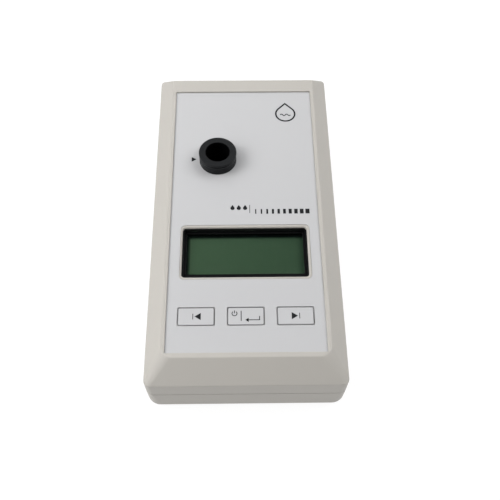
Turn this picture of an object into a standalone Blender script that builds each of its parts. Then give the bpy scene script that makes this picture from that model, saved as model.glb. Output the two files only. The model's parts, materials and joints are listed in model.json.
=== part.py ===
"""Handheld photometer for testing water, as an assembly of separate solids.

The case is two moulded shells around a main board, a four-line display module, three keys
and an optical block that a round glass cuvette drops into. A nine volt battery lies behind
a hinged door in the underside.

Frame: metres, +Z up, +Y towards the rear, origin on the table under the middle of the case.
"""

import math

import bmesh
import bpy
from mathutils import Vector

MM = 0.001
GAP = 0.3 * MM  # clearance kept between any two pieces
PAST = 1 * MM  # how far a cutter runs past the face it opens, or a joined piece is sunk

# ---- case envelope ----
CASE_WIDTH = 100 * MM
CASE_LENGTH = 200 * MM
BASE_Z = 2 * MM  # underside of the case, held up by the feet
RIM_Z = 36 * MM  # flat rim round the front panel
RIDGE_Z = 26.8 * MM  # where the sloping shoulders meet the upright walls
PARTING_Z = 16.5 * MM  # lower edge of the upper shell
PARTING_GAP = 0.5 * MM
SIDE_SLOPE = 8.3 * MM  # shoulder widths in plan
FRONT_SLOPE = 11 * MM
REAR_SLOPE = 8 * MM
WALL = 2.5 * MM
RIM_CORNER = 1 * MM
RIDGE_CORNER = 2.8 * MM
PARTING_CORNER = 4.4 * MM
BASE_CORNER = 6.4 * MM
BASE_EDGE = 1.4 * MM  # rounding between the walls and the underside
INNER_CORNER = 3 * MM
TONGUE_INSET = 1.5 * MM  # the lower shell's tongue, which the upper shell closes over
TONGUE_HEIGHT = 2.3 * MM
HALF_WIDTH = CASE_WIDTH / 2
HALF_LENGTH = CASE_LENGTH / 2
FLOOR_Z = BASE_Z + WALL

# ---- front panel ----
RECESS_WIDTH = 79.2 * MM
RECESS_LENGTH = 170 * MM
RECESS_Y = -2 * MM
RECESS_FLOOR_Z = RIM_Z - 1.8 * MM
CEILING_Z = RECESS_FLOOR_Z - WALL
FILM = 0.6 * MM  # front panel film with its adhesive
PANEL_BOTTOM_Z = RECESS_FLOOR_Z + GAP
FILM_TOP_Z = PANEL_BOTTOM_Z + FILM
FILM_HOLE = (67.5 * MM, 33.1 * MM)
FILM_HOLE_Y = -28.5 * MM
WINDOW = (65.2 * MM, 31.8 * MM)
WINDOW_Y = -28.1 * MM
WINDOW_CORNER = 1.3 * MM
FILM_CORNER = 0.5 * MM
FILM_HOLE_CORNER = 2.2 * MM

# ---- keys ----
KEY_NAMES = ("back", "enter", "next")
KEY_PITCH = 24.75 * MM
KEY_Y = -66.5 * MM
KEY_SIZE = (18.8 * MM, 10.4 * MM)
KEY_CORNER = 0.9 * MM
KEY_BODY = (16.6 * MM, 8.2 * MM)
KEY_ROOM = 0.4 * MM  # clearance round a key inside the case
KEY_POCKET_FLOOR_Z = RECESS_FLOOR_Z - 0.5 * MM
KEY_BODY_BOTTOM_Z = 30.8 * MM
KEY_STEM_RADIUS = 2.2 * MM
KEY_STEM_BOTTOM_Z = 24.3 * MM
KEY_TRAVEL = 0.5 * MM
SWITCH_SIZE = 6 * MM
SWITCH_HEIGHT = 3.5 * MM
SWITCH_FLOOR = 0.4 * MM
SWITCH_PLUNGER_RADIUS = 1.7 * MM
DOME_HEIGHT = 0.4 * MM
DOME_SHEET = 0.2 * MM

# ---- display module ----
DISPLAY_Y = -28.6 * MM
DISPLAY_BOARD = (87 * MM, 60 * MM)
DISPLAY_BOARD_Z = 20.8 * MM
DISPLAY_HOLES = (82 * MM, 55 * MM)
BEZEL_SIZE = (72.2 * MM, 40.2 * MM)
BEZEL_VIEW = (61.8 * MM, 25.2 * MM)
BEZEL_TOP_Z = CEILING_Z - GAP
BEZEL_SHEET = 0.7 * MM
GLASS = 2.2 * MM
DISPLAY_SCREW_TIP_Z = 28 * MM
HEADER_HALF_LENGTH = 20.3 * MM
HEADER_WIDTH = 2.5 * MM

# ---- boards ----
BOARD = 1.6 * MM
MAIN_BOARD_Z = 14.4 * MM
MAIN_BOARD_TOP_Z = MAIN_BOARD_Z + BOARD
MAIN_BOARD_WIDTH = 88 * MM
MAIN_BOARD_FRONT = -82 * MM
MAIN_BOARD_REAR = 15 * MM
BOARD_SCREWS = ((-40, -78), (40, -78), (-40, 10), (40, 10))
BOARD_SCREW_TIP_Z = 7 * MM
BOARD_PARTS = (  # name, centre x and y, size, finish
    ("microcontroller", (-10, -33), (14, 14, 1.6), "chip"),
    ("crystal", (9.5, -31.7), (11, 4.6, 3.4), "steel"),
    ("signal_amplifier", (25, -31), (6, 10, 1.7), "chip"),
    ("voltage_regulator", (-7, 8.5), (10, 7, 4.5), "chip"),
)

# ---- optics ----
WELL_X = -14.6 * MM
WELL_Y = 32 * MM
WELL_RADIUS = 6.6 * MM
WELL_FLOOR_Z = 7 * MM
COLLAR_RADIUS = 10 * MM
COLLAR_TOP_Z = FILM_TOP_Z + 7.2 * MM
COLLAR_SPIGOT_RADIUS = 8.3 * MM
COLLAR_SPIGOT_Z = 24 * MM
COLLAR_BEVEL = 0.5 * MM
WELL_CHAMFER = 0.8 * MM
BLOCK_SIZE = (36 * MM, 26 * MM)
BLOCK_BOTTOM_Z = 5 * MM
BLOCK_TOP_Z = CEILING_Z - GAP
BEAM_Z = 15 * MM
LUGS = ((-1, 9), (1, -9))  # side of the block, and x from the well's axis
LUG_HALF_WIDTH = 4 * MM
LUG_REACH = 6 * MM
LUG_BOTTOM_Z = 8 * MM
LUG_TOP_Z = 11 * MM
OPTICS_BOARD = (18 * MM, 16 * MM)

# ---- battery ----
BATTERY_Y = 72 * MM
BATTERY_SIZE = (46.4 * MM, 26.5 * MM, 17.5 * MM)
BATTERY_X = -3 * MM
BATTERY_BOTTOM_Z = 5.5 * MM
STUD_PITCH = 12.7 * MM
STUD_RADIUS = 3.6 * MM
STUD_HEIGHT = 2.9 * MM
SNAP_DEPTH = 4.8 * MM
SNAP_HALF_WIDTH = 12.8 * MM
SNAP_INSET = 0.8 * MM
BAY_HALF_WIDTH = 30 * MM
BAY_HALF_DEPTH = 15 * MM
BAY_RIB = 1.6 * MM
BAY_RIB_TOP_Z = 15.5 * MM
HOLD_RIB_X = 12 * MM
HOLD_RIB_HALF = (0.8 * MM, 11 * MM)
DOOR_WIDTH = 56 * MM
DOOR_THICKNESS = 2.2 * MM
DOOR_FRONT = 56.8 * MM
DOOR_REAR = 87.2 * MM
DOOR_AXIS_Y = DOOR_FRONT + DOOR_THICKNESS / 2
DOOR_AXIS_Z = BASE_Z + DOOR_THICKNESS / 2
DOOR_PIN_RADIUS = 0.7 * MM
DOOR_PIN_LENGTH = 1.8 * MM
DOOR_ROOM = 0.4 * MM
LATCH_HALF_WIDTH = 6 * MM
LATCH_THICKNESS = 0.8 * MM
LATCH_HEIGHT = 3 * MM
NOTCH_HALF_WIDTH = 8 * MM
NOTCH_DEPTH = 0.8 * MM
PAD_HALF = (18 * MM, 9 * MM)

# ---- fasteners and feet ----
CASE_SCREWS = ((-40, -88), (40, -88), (-40, 88), (40, 88))
CASE_SCREW_SHOULDER_Z = 7.5 * MM
CASE_SCREW_TIP_Z = 26 * MM
CASE_SHANK_RADIUS = 1.3 * MM
CASE_HEAD_RADIUS = 2.8 * MM
FEET = ((-36, -68), (36, -68), (-36, 68), (36, 68))
FOOT_RADIUS = 6 * MM
FOOT_RECESS = 1 * MM

ROUND = 24  # sides of a large round piece
SMALL = 12  # sides of a screw or a pin
CORNER = 4  # segments in a rounded corner


# ---------------------------------------------------------------- scene and materials
def clear_scene():
    for obj in list(bpy.data.objects):
        bpy.data.objects.remove(obj, do_unlink=True)


def finish_of(name, colour, roughness, metallic=0.0):
    material = bpy.data.materials.new(name)
    material.use_nodes = True
    shader = material.node_tree.nodes["Principled BSDF"]
    shader.inputs["Base Color"].default_value = (*colour, 1)
    shader.inputs["Roughness"].default_value = roughness
    shader.inputs["Metallic"].default_value = metallic
    material.diffuse_color = (*colour, 1)
    return material


def make_finishes():
    return {
        "case": finish_of("case_abs", (0.66, 0.63, 0.58), 0.55),
        "film": finish_of("panel_film", (0.70, 0.71, 0.73), 0.45),
        "black": finish_of("black_acetal", (0.012, 0.012, 0.013), 0.4),
        "bezel": finish_of("bezel_black", (0.01, 0.01, 0.011), 0.3, 0.6),
        "display": finish_of("display_green", (0.05, 0.12, 0.06), 0.12),
        "diffuser": finish_of("backlight_white", (0.75, 0.76, 0.70), 0.5),
        "board": finish_of("board_green", (0.03, 0.16, 0.06), 0.4),
        "chip": finish_of("chip_epoxy", (0.02, 0.02, 0.02), 0.5),
        "steel": finish_of("plated_steel", (0.62, 0.62, 0.60), 0.3, 1.0),
        "can": finish_of("aluminium_can", (0.70, 0.70, 0.71), 0.35, 1.0),
        "glass": finish_of("filter_glass", (0.35, 0.20, 0.55), 0.05),
        "led": finish_of("led_resin", (0.70, 0.75, 0.80), 0.1),
        "rubber": finish_of("foot_rubber", (0.05, 0.05, 0.05), 0.8),
        "foam": finish_of("door_foam", (0.10, 0.10, 0.11), 0.9),
        "battery": finish_of("battery_jacket", (0.08, 0.13, 0.30), 0.35, 0.3),
        "red": finish_of("red_insulation", (0.45, 0.02, 0.02), 0.45),
        "grey": finish_of("grey_ribbon", (0.35, 0.36, 0.38), 0.5),
    }


# ---------------------------------------------------------------- shape helpers
def link(name, mesh_source, finish, location=(0, 0, 0)):
    """Turns a bmesh into a linked object. With no finish the object is a hidden cutter."""
    mesh = bpy.data.meshes.new(name)
    bmesh.ops.recalc_face_normals(mesh_source, faces=mesh_source.faces)
    mesh_source.to_mesh(mesh)
    mesh_source.free()
    obj = bpy.data.objects.new(name, mesh)
    obj.location = location
    bpy.context.scene.collection.objects.link(obj)
    if finish is None:
        obj.hide_render = True
        obj.display_type = "WIRE"
    else:
        mesh.materials.append(finish)
    return obj


def skin(rings, cyclic=False):
    """A closed bmesh over a row of rings that have the same number of points."""
    made = bmesh.new()
    loops = [[made.verts.new(point) for point in ring] for ring in rings]
    count = len(loops[0])
    pairs = list(zip(loops, loops[1:]))
    if cyclic:
        pairs.append((loops[-1], loops[0]))
    else:
        made.faces.new(loops[0][::-1])
        made.faces.new(loops[-1])
    for low, high in pairs:
        for i in range(count):
            j = (i + 1) % count
            made.faces.new((low[i], low[j], high[j], high[i]))
    return made


def rounded_outline(half_width, front, rear, radius, z):
    """A rectangle from front to rear along Y, with arcs of the same radius at its corners."""
    centres = (
        (half_width - radius, rear - radius, 0),
        (radius - half_width, rear - radius, 90),
        (radius - half_width, front + radius, 180),
        (half_width - radius, front + radius, 270),
    )
    points = []
    for x, y, start in centres:
        for step in range(CORNER + 1):
            angle = math.radians(start + 90 * step / CORNER)
            points.append((x + radius * math.cos(angle), y + radius * math.sin(angle), z))
    return points


def rounded_plate(name, size, radius, low, high, finish, x=0.0, y=0.0):
    """A flat plate with rounded corners, centred on x and y, from z = low to z = high."""
    rings = [rounded_outline(size[0] / 2, -size[1] / 2, size[1] / 2, radius, z) for z in (0, high - low)]
    return link(name, skin(rings), finish, (x, y, low))


def box(name, low, high, finish):
    """A plain block between two corners, with its origin at its centre."""
    low, high = Vector(low), Vector(high)
    made = bmesh.new()
    bmesh.ops.create_cube(made, size=1)
    bmesh.ops.scale(made, vec=high - low, verts=made.verts)
    return link(name, made, finish, (low + high) / 2)


def circle(radius, z, sides):
    turns = (2 * math.pi * (i + 0.5) / sides for i in range(sides))
    return [(radius * math.cos(turn), radius * math.sin(turn), z) for turn in turns]


def turned(name, profile, finish, location, sides=ROUND, hollow=False, axis="Z"):
    """A turned piece. The profile is (radius, height) pairs; a hollow one closes on itself."""
    made = skin([circle(radius, z, sides) for radius, z in profile], cyclic=hollow)
    obj = link(name, made, finish, location)
    if axis == "X":
        obj.rotation_euler = (0, math.radians(90), 0)
    return obj


def rod(name, radius, low, high, finish, x, y, sides=SMALL):
    """An upright cylinder from z = low to z = high."""
    return turned(name, ((radius, 0), (radius, high - low)), finish, (x, y, low), sides)


def peg(name, radius, low, high, x, y, sides=SMALL):
    """An upright cylinder to cut with, or to join to a piece."""
    return rod(name, radius, low, high, None, x, y, sides)


def tube_along(name, points, radius, finish):
    """A wire: a bevelled curve read from a smooth line through the given points."""
    knots = [Vector(point) * MM for point in points]
    knots = [2 * knots[0] - knots[1], *knots, 2 * knots[-1] - knots[-2]]
    line = []
    steps = 3
    for a, b, c, d in zip(knots, knots[1:], knots[2:], knots[3:]):
        for step in range(steps):
            t = step / steps
            square = 2 * a - 5 * b + 4 * c - d
            cube = 3 * b - a - 3 * c + d
            line.append(b + ((c - a) * t + square * t**2 + cube * t**3) / 2)
    line.append(knots[-2])
    curve = bpy.data.curves.new(name, "CURVE")
    curve.dimensions = "3D"
    curve.bevel_depth = radius
    curve.bevel_resolution = 2
    curve.use_fill_caps = True
    spline = curve.splines.new("POLY")
    spline.points.add(len(line) - 1)
    for point, place in zip(spline.points, line):
        point.co = (*place, 1)
    curve.materials.append(finish)
    obj = bpy.data.objects.new(name, curve)
    bpy.context.scene.collection.objects.link(obj)
    return obj


def combine(obj, operation, others):
    for other in others:
        modifier = obj.modifiers.new(other.name, "BOOLEAN")
        modifier.operation = operation
        modifier.solver = "EXACT"
        modifier.object = other


def cut(obj, *cutters):
    combine(obj, "DIFFERENCE", cutters)


def join(obj, *helpers):
    combine(obj, "UNION", helpers)


def bevel(obj, width, segments=2, angle=30):
    modifier = obj.modifiers.new("edge", "BEVEL")
    modifier.width = width
    modifier.segments = segments
    modifier.limit_method = "ANGLE"
    modifier.angle_limit = math.radians(angle)


# ---------------------------------------------------------------- shells
def offset_slope(run, rise, wall, level_z):
    """How far in from the outer wall the inside of a shoulder stands, at a height above the ridge.

    The shoulder runs inwards by run while it rises by rise, and its wall is measured square to it.
    """
    length = math.hypot(run, rise)
    start_in = wall * rise / length
    start_up = -wall * run / length
    return start_in + (level_z - start_up) * run / rise


def knee_height(run, rise, wall):
    """Height above the ridge at which the inside of the shoulder meets the inside of the wall."""
    length = math.hypot(run, rise)
    return (wall - wall * rise / length) * rise / run - wall * run / length


def case_outline(inset, corner, z):
    """The case's widest outline, moved in by inset."""
    return rounded_outline(HALF_WIDTH - inset, inset - HALF_LENGTH, HALF_LENGTH - inset, corner, z)


def case_ring(name, inset, corner, low, high):
    """A helper solid with upright sides that follow the case's outline."""
    return link(name, skin([case_outline(inset, corner, z) for z in (low, high)]), None)


def upper_cavity():
    rise = RIM_Z - RIDGE_Z
    ceiling = CEILING_Z - RIDGE_Z
    knee = RIDGE_Z + knee_height(SIDE_SLOPE, rise, WALL)
    ceiling_outline = rounded_outline(
        HALF_WIDTH - offset_slope(SIDE_SLOPE, rise, WALL, ceiling),
        -HALF_LENGTH + offset_slope(FRONT_SLOPE, rise, WALL, ceiling),
        HALF_LENGTH - offset_slope(REAR_SLOPE, rise, WALL, ceiling),
        RIM_CORNER,
        CEILING_Z,
    )
    rings = [
        case_outline(WALL, INNER_CORNER, PARTING_Z - PAST),
        case_outline(WALL, INNER_CORNER, knee),
        ceiling_outline,
    ]
    return link("cut_upper_cavity", skin(rings), None)


def key_places():
    return [(name, (i - 1) * KEY_PITCH) for i, name in enumerate(KEY_NAMES)]


def make_upper_shell(finish):
    rim_outline = rounded_outline(
        HALF_WIDTH - SIDE_SLOPE, -HALF_LENGTH + FRONT_SLOPE, HALF_LENGTH - REAR_SLOPE, RIM_CORNER, RIM_Z
    )
    rings = [case_outline(0, PARTING_CORNER, PARTING_Z), case_outline(0, RIDGE_CORNER, RIDGE_Z), rim_outline]
    shell = link("upper_shell", skin(rings), finish)
    tongue_top = PARTING_Z - PARTING_GAP + TONGUE_HEIGHT
    cut(
        shell,
        upper_cavity(),
        case_ring("cut_tongue_room", TONGUE_INSET - GAP, INNER_CORNER, PARTING_Z - PAST, tongue_top + GAP),
        panel_cutter("cut_recess", (RECESS_WIDTH, RECESS_LENGTH), FILM_CORNER, RECESS_FLOOR_Z, 0, RECESS_Y),
        panel_cutter("cut_window", WINDOW, WINDOW_CORNER, CEILING_Z - PAST, 0, WINDOW_Y),
        peg("cut_collar", COLLAR_SPIGOT_RADIUS + GAP, CEILING_Z - PAST, RIM_Z, WELL_X, WELL_Y, ROUND),
    )
    for name, x in key_places():
        pocket = [side + 2 * KEY_ROOM for side in KEY_SIZE]
        slot = [side + 2 * KEY_ROOM for side in KEY_BODY]
        cut(
            shell,
            panel_cutter("cut_pocket_" + name, pocket, KEY_CORNER, KEY_POCKET_FLOOR_Z, x, KEY_Y),
            panel_cutter("cut_slot_" + name, slot, KEY_CORNER, CEILING_Z - PAST, x, KEY_Y),
        )
    for side in (-1, 1):
        x = BATTERY_X + side * HOLD_RIB_X
        low = (x - HOLD_RIB_HALF[0], BATTERY_Y - HOLD_RIB_HALF[1], BATTERY_BOTTOM_Z + BATTERY_SIZE[2] + GAP)
        high = (x + HOLD_RIB_HALF[0], BATTERY_Y + HOLD_RIB_HALF[1], CEILING_Z + PAST)
        join(shell, box(f"hold_rib_{side}", low, high, None))
    add_upper_bosses(shell)


def panel_cutter(name, size, corner, floor_z, x, y):
    """A cutter that opens the front panel from above, down to floor_z."""
    return rounded_plate(name, size, corner, floor_z, RIM_Z + PAST, None, x, y)


def add_upper_bosses(shell):
    """Screw bosses: four to the lower shell, four for the display module."""
    buried_z = CEILING_Z + PAST
    for i, (x, y) in enumerate(case_screw_places()):
        join(shell, peg(f"boss_case_{i}", 3.8 * MM, PARTING_Z, buried_z, x, y))
        pilot = CASE_SHANK_RADIUS + GAP
        cut(shell, peg(f"cut_case_pilot_{i}", pilot, PARTING_Z - PAST, CASE_SCREW_TIP_Z + PAST, x, y))
    bottom = DISPLAY_BOARD_Z + BOARD + GAP
    for i, (x, y) in enumerate(display_holes()):
        join(shell, peg(f"boss_display_{i}", 2.6 * MM, bottom, buried_z, x, y))
        cut(shell, peg(f"cut_display_pilot_{i}", 1.3 * MM, bottom - PAST, DISPLAY_SCREW_TIP_Z + PAST, x, y))


def case_screw_places():
    return [(x * MM, y * MM) for x, y in CASE_SCREWS]


def board_screw_places():
    return [(x * MM, y * MM) for x, y in BOARD_SCREWS]


def lug_screw_places():
    reach = BLOCK_SIZE[1] / 2 + LUG_REACH / 2
    return [(WELL_X + x * MM, WELL_Y + side * reach) for side, x in LUGS]


def display_holes():
    half_x, half_y = DISPLAY_HOLES[0] / 2, DISPLAY_HOLES[1] / 2
    return [(sx * half_x, DISPLAY_Y + sy * half_y) for sy in (-1, 1) for sx in (-1, 1)]


def make_lower_shell(finish):
    top = PARTING_Z - PARTING_GAP
    rings = []
    for turn in (90, 60, 30, 0):
        inset = BASE_EDGE * (1 - math.cos(math.radians(turn)))
        drop = BASE_EDGE * (1 - math.sin(math.radians(turn)))
        rings.append(case_outline(inset, BASE_CORNER - inset, BASE_Z + drop))
    rings.append(case_outline(0, PARTING_CORNER, top))
    shell = link("lower_shell", skin(rings), finish)
    join(shell, case_ring("tongue", TONGUE_INSET, INNER_CORNER, top - 3 * MM, top + TONGUE_HEIGHT))
    cut(shell, case_ring("cut_lower_cavity", WALL, INNER_CORNER, FLOOR_Z, top + TONGUE_HEIGHT + PAST))
    add_battery_bay(shell)
    add_lower_posts(shell)


def add_battery_bay(shell):
    """Ribs round the battery, the door's opening and the blocks its pins turn in."""
    sunk_z = FLOOR_Z - PAST
    outer = (2 * (BAY_HALF_WIDTH + BAY_RIB), 2 * (BAY_HALF_DEPTH + BAY_RIB))
    inner = (2 * BAY_HALF_WIDTH, 2 * BAY_HALF_DEPTH)
    ribs = rounded_plate("bay_ribs", outer, PAST, sunk_z, BAY_RIB_TOP_Z, None, y=BATTERY_Y)
    cut(ribs, rounded_plate("cut_bay", inner, PAST, sunk_z - PAST, BAY_RIB_TOP_Z + PAST, None, y=BATTERY_Y))
    join(shell, ribs)
    opening_x = DOOR_WIDTH / 2 + DOOR_ROOM
    for side in (-1, 1):
        inner_x, outer_x = sorted((side * opening_x, side * (BAY_HALF_WIDTH + BAY_RIB)))
        low = (inner_x, DOOR_AXIS_Y - 3 * MM, sunk_z)
        high = (outer_x, DOOR_AXIS_Y + 3 * MM, FLOOR_Z + 2 * MM)
        join(shell, box(f"door_cheek_{side}", low, high, None))
    opening_low = (-opening_x, DOOR_FRONT - DOOR_ROOM, BASE_Z - PAST)
    opening_high = (opening_x, DOOR_REAR + DOOR_ROOM, FLOOR_Z + 2 * GAP)
    cut(shell, box("cut_door_opening", opening_low, opening_high, None))
    pin_room = DOOR_WIDTH / 2 + DOOR_PIN_LENGTH + GAP
    cut(shell, door_pins("cut_door_pins", DOOR_PIN_RADIUS + GAP, pin_room))


def door_pins(name, radius, reach):
    """A bar along the door's axis, to both sides."""
    place = (0, DOOR_AXIS_Y, DOOR_AXIS_Z)
    return turned(name, ((radius, -reach), (radius, reach)), None, place, SMALL, axis="X")


def add_post(shell, name, place, radius, bottom_z, top_z, pilot_radius, pilot_z):
    """A post that rises from the floor, with a blind hole down from its top."""
    x, y = place
    join(shell, peg("post_" + name, radius, bottom_z, top_z, x, y))
    cut(shell, peg("cut_pilot_" + name, pilot_radius, pilot_z, top_z + PAST, x, y))


def add_lower_posts(shell):
    """Screw bosses, board posts, the optical block's posts and the seats of the feet."""
    sunk_z = FLOOR_Z - PAST
    boss_top = PARTING_Z - GAP
    head = CASE_HEAD_RADIUS + 0.4 * MM
    shank = CASE_SHANK_RADIUS + 0.4 * MM
    for i, (x, y) in enumerate(case_screw_places()):
        join(shell, peg(f"boss_low_{i}", 4.6 * MM, sunk_z, boss_top, x, y))
        cut(shell, peg(f"cut_head_{i}", head, BASE_Z - PAST, CASE_SCREW_SHOULDER_Z, x, y))
        cut(shell, peg(f"cut_shank_{i}", shank, CASE_SCREW_SHOULDER_Z - PAST, boss_top + PAST, x, y))
    for i, place in enumerate(board_screw_places()):
        add_post(shell, f"board_{i}", place, 3 * MM, sunk_z, MAIN_BOARD_Z - GAP, 1.5 * MM, FLOOR_Z)
    for i, place in enumerate(lug_screw_places()):
        add_post(shell, f"block_{i}", place, 2.7 * MM, sunk_z, LUG_BOTTOM_Z - GAP, 1.4 * MM, FLOOR_Z)
    for i, (x, y) in enumerate(FEET):
        top = BASE_Z + FOOT_RECESS
        cut(shell, peg(f"cut_foot_{i}", FOOT_RADIUS + GAP, BASE_Z - PAST, top, x * MM, y * MM, ROUND))


# ---------------------------------------------------------------- front panel and keys
def make_panel_film(finish):
    size = (RECESS_WIDTH - 2 * GAP, RECESS_LENGTH - 2 * GAP)
    film = rounded_plate("panel_film", size, FILM_CORNER, PANEL_BOTTOM_Z, FILM_TOP_Z, finish, y=RECESS_Y)
    low = PANEL_BOTTOM_Z - PAST
    cut(film, panel_cutter("cut_film_window", FILM_HOLE, FILM_HOLE_CORNER, low, 0, FILM_HOLE_Y))
    for name, x in key_places():
        cut(film, panel_cutter("cut_film_" + name, KEY_SIZE, KEY_CORNER, low, x, KEY_Y))
    cut(film, peg("cut_film_collar", COLLAR_RADIUS + GAP, low, FILM_TOP_Z + PAST, WELL_X, WELL_Y, ROUND))


def make_key(name, x, finishes):
    """A key with its guide and stem, and the switch below it: housing, plunger and snap dome."""
    size = [side - 2 * GAP for side in KEY_SIZE]
    heights = PANEL_BOTTOM_Z, FILM_TOP_Z
    pad = rounded_plate(f"key_{name}", size, KEY_CORNER, *heights, finishes["film"], x, KEY_Y)
    guide_top = (PANEL_BOTTOM_Z + FILM_TOP_Z) / 2
    guide = rounded_plate(f"guide_{name}", KEY_BODY, KEY_CORNER, KEY_BODY_BOTTOM_Z, guide_top, None, x, KEY_Y)
    stem_top = KEY_BODY_BOTTOM_Z + PAST
    stem = peg(f"stem_{name}", KEY_STEM_RADIUS, KEY_STEM_BOTTOM_Z, stem_top, x, KEY_Y)
    join(pad, guide, stem)
    make_switch(name, x, finishes)


def make_switch(name, x, finishes):
    low = MAIN_BOARD_TOP_Z + GAP
    half = SWITCH_SIZE / 2
    top = low + SWITCH_HEIGHT
    corners = (x - half, KEY_Y - half, low), (x + half, KEY_Y + half, top)
    housing = box(f"switch_{name}", *corners, finishes["chip"])
    floor = low + SWITCH_FLOOR
    cut(housing, peg(f"cut_switch_{name}", SWITCH_PLUNGER_RADIUS + GAP, floor, top + PAST, x, KEY_Y))
    bottom = floor + GAP + DOME_HEIGHT + KEY_TRAVEL + GAP
    top = KEY_STEM_BOTTOM_Z - GAP
    rod(f"switch_{name}_plunger", SWITCH_PLUNGER_RADIUS, bottom, top, finishes["black"], x, KEY_Y)
    dome_hole = 0.3 * MM
    dome = (
        (SWITCH_PLUNGER_RADIUS - DOME_SHEET * 2, 0),
        (SWITCH_PLUNGER_RADIUS, 0),
        (dome_hole + DOME_SHEET, DOME_HEIGHT),
        (dome_hole, DOME_HEIGHT),
        (dome_hole, DOME_HEIGHT - DOME_SHEET),
    )
    turned(f"switch_{name}_dome", dome, finishes["steel"], (x, KEY_Y, floor + GAP), SMALL, hollow=True)


# ---------------------------------------------------------------- display module
def make_display(finishes):
    board_half = (DISPLAY_BOARD[0] / 2, DISPLAY_BOARD[1] / 2)
    board = box(
        "display_board",
        (-board_half[0], DISPLAY_Y - board_half[1], DISPLAY_BOARD_Z),
        (board_half[0], DISPLAY_Y + board_half[1], DISPLAY_BOARD_Z + BOARD),
        finishes["board"],
    )
    low, high = DISPLAY_BOARD_Z - PAST, DISPLAY_BOARD_Z + BOARD + PAST
    ends = DISPLAY_BOARD_Z - GAP, DISPLAY_SCREW_TIP_Z
    for i, (x, y) in enumerate(display_holes()):
        cut(board, peg(f"cut_display_hole_{i}", 1.5 * MM, low, high, x, y))
        make_screw(f"display_screw_{i + 1}", x, y, *ends, 2.1 * MM, 1 * MM, finishes["steel"])

    bezel_bottom = DISPLAY_BOARD_Z + BOARD + GAP
    sheet_z = BEZEL_TOP_Z - BEZEL_SHEET
    glass_top = sheet_z - GAP
    glass_bottom = glass_top - GLASS
    inside = [side - 2 * BEZEL_SHEET for side in BEZEL_SIZE]
    glass = [side - 2 * GAP for side in inside]
    bezel = display_plate("display_bezel", BEZEL_SIZE, bezel_bottom, BEZEL_TOP_Z, finishes["bezel"])
    cut(
        bezel,
        display_plate("cut_bezel_inside", inside, bezel_bottom - PAST, sheet_z, None),
        display_plate("cut_bezel_view", BEZEL_VIEW, sheet_z - PAST, BEZEL_TOP_Z + PAST, None),
    )
    display_plate("display_glass", glass, glass_bottom, glass_top, finishes["display"])
    display_plate("display_backlight", glass, bezel_bottom, glass_bottom - GAP, finishes["diffuser"])

    header_rear = DISPLAY_Y + board_half[1] - 1.5 * MM
    box(
        "display_header",
        (-HEADER_HALF_LENGTH, header_rear - HEADER_WIDTH, MAIN_BOARD_TOP_Z + GAP),
        (HEADER_HALF_LENGTH, header_rear, DISPLAY_BOARD_Z - GAP),
        finishes["chip"],
    )


def display_plate(name, size, low, high, finish):
    return rounded_plate(name, size, 0.5 * MM, low, high, finish, y=DISPLAY_Y)


# ---------------------------------------------------------------- boards and what is on them
def make_screw(name, x, y, seat_z, tip_z, head_radius, shank_radius, finish, head_height=1.8 * MM):
    """A cross-head screw whose head bears at seat_z and whose tip is at tip_z, above or below it."""
    way = 1 if tip_z > seat_z else -1
    shank = abs(tip_z - seat_z)
    profile = (
        (head_radius * 0.75, -way * head_height),
        (head_radius, -way * head_height * 0.6),
        (head_radius, 0),
        (shank_radius, 0),
        (shank_radius, way * (shank - shank_radius)),
        (shank_radius * 0.3, way * shank),
    )
    screw = turned(name, profile, finish, (x, y, seat_z), SMALL)
    head_z = seat_z - way * head_height
    slot_low, slot_high = sorted((head_z - way * PAST, head_z + way * head_height * 0.45))
    long_half, short_half = head_radius * 0.62, 0.35 * MM
    for i, (half_x, half_y) in enumerate(((long_half, short_half), (short_half, long_half))):
        low, high = (x - half_x, y - half_y, slot_low), (x + half_x, y + half_y, slot_high)
        cut(screw, box(f"cut_{name}_{i}", low, high, None))


def make_main_board(finishes):
    half = MAIN_BOARD_WIDTH / 2
    low, high = (-half, MAIN_BOARD_FRONT, MAIN_BOARD_Z), (half, MAIN_BOARD_REAR, MAIN_BOARD_TOP_Z)
    board = box("main_board", low, high, finishes["board"])
    low, high = MAIN_BOARD_Z - PAST, MAIN_BOARD_TOP_Z + PAST
    seat_z = MAIN_BOARD_TOP_Z + GAP
    ends = seat_z, BOARD_SCREW_TIP_Z
    for i, (x, y) in enumerate(board_screw_places()):
        cut(board, peg(f"cut_main_hole_{i}", 1.6 * MM, low, high, x, y))
        make_screw(f"board_screw_{i + 1}", x, y, *ends, 2.6 * MM, 1.2 * MM, finishes["steel"])
    for name, (x, y), (width, depth, height), finish in BOARD_PARTS:
        low = Vector((x - width / 2, y - depth / 2, 0)) * MM + Vector((0, 0, seat_z))
        box(name, low, low + Vector((width, depth, height)) * MM, finishes[finish])
    can = ((3.6 * MM, 0), (4 * MM, 0.5 * MM), (4 * MM, 10.5 * MM), (3.6 * MM, 11 * MM))
    turned("capacitor", can, finishes["can"], (-20 * MM, 8.5 * MM, seat_z), ROUND)
    sounder = ((6 * MM, 0), (6 * MM, 7.5 * MM), (1 * MM, 7.5 * MM), (1 * MM, 6 * MM))
    turned("buzzer", sounder, finishes["chip"], (24 * MM, 8.6 * MM, seat_z), ROUND)


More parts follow.
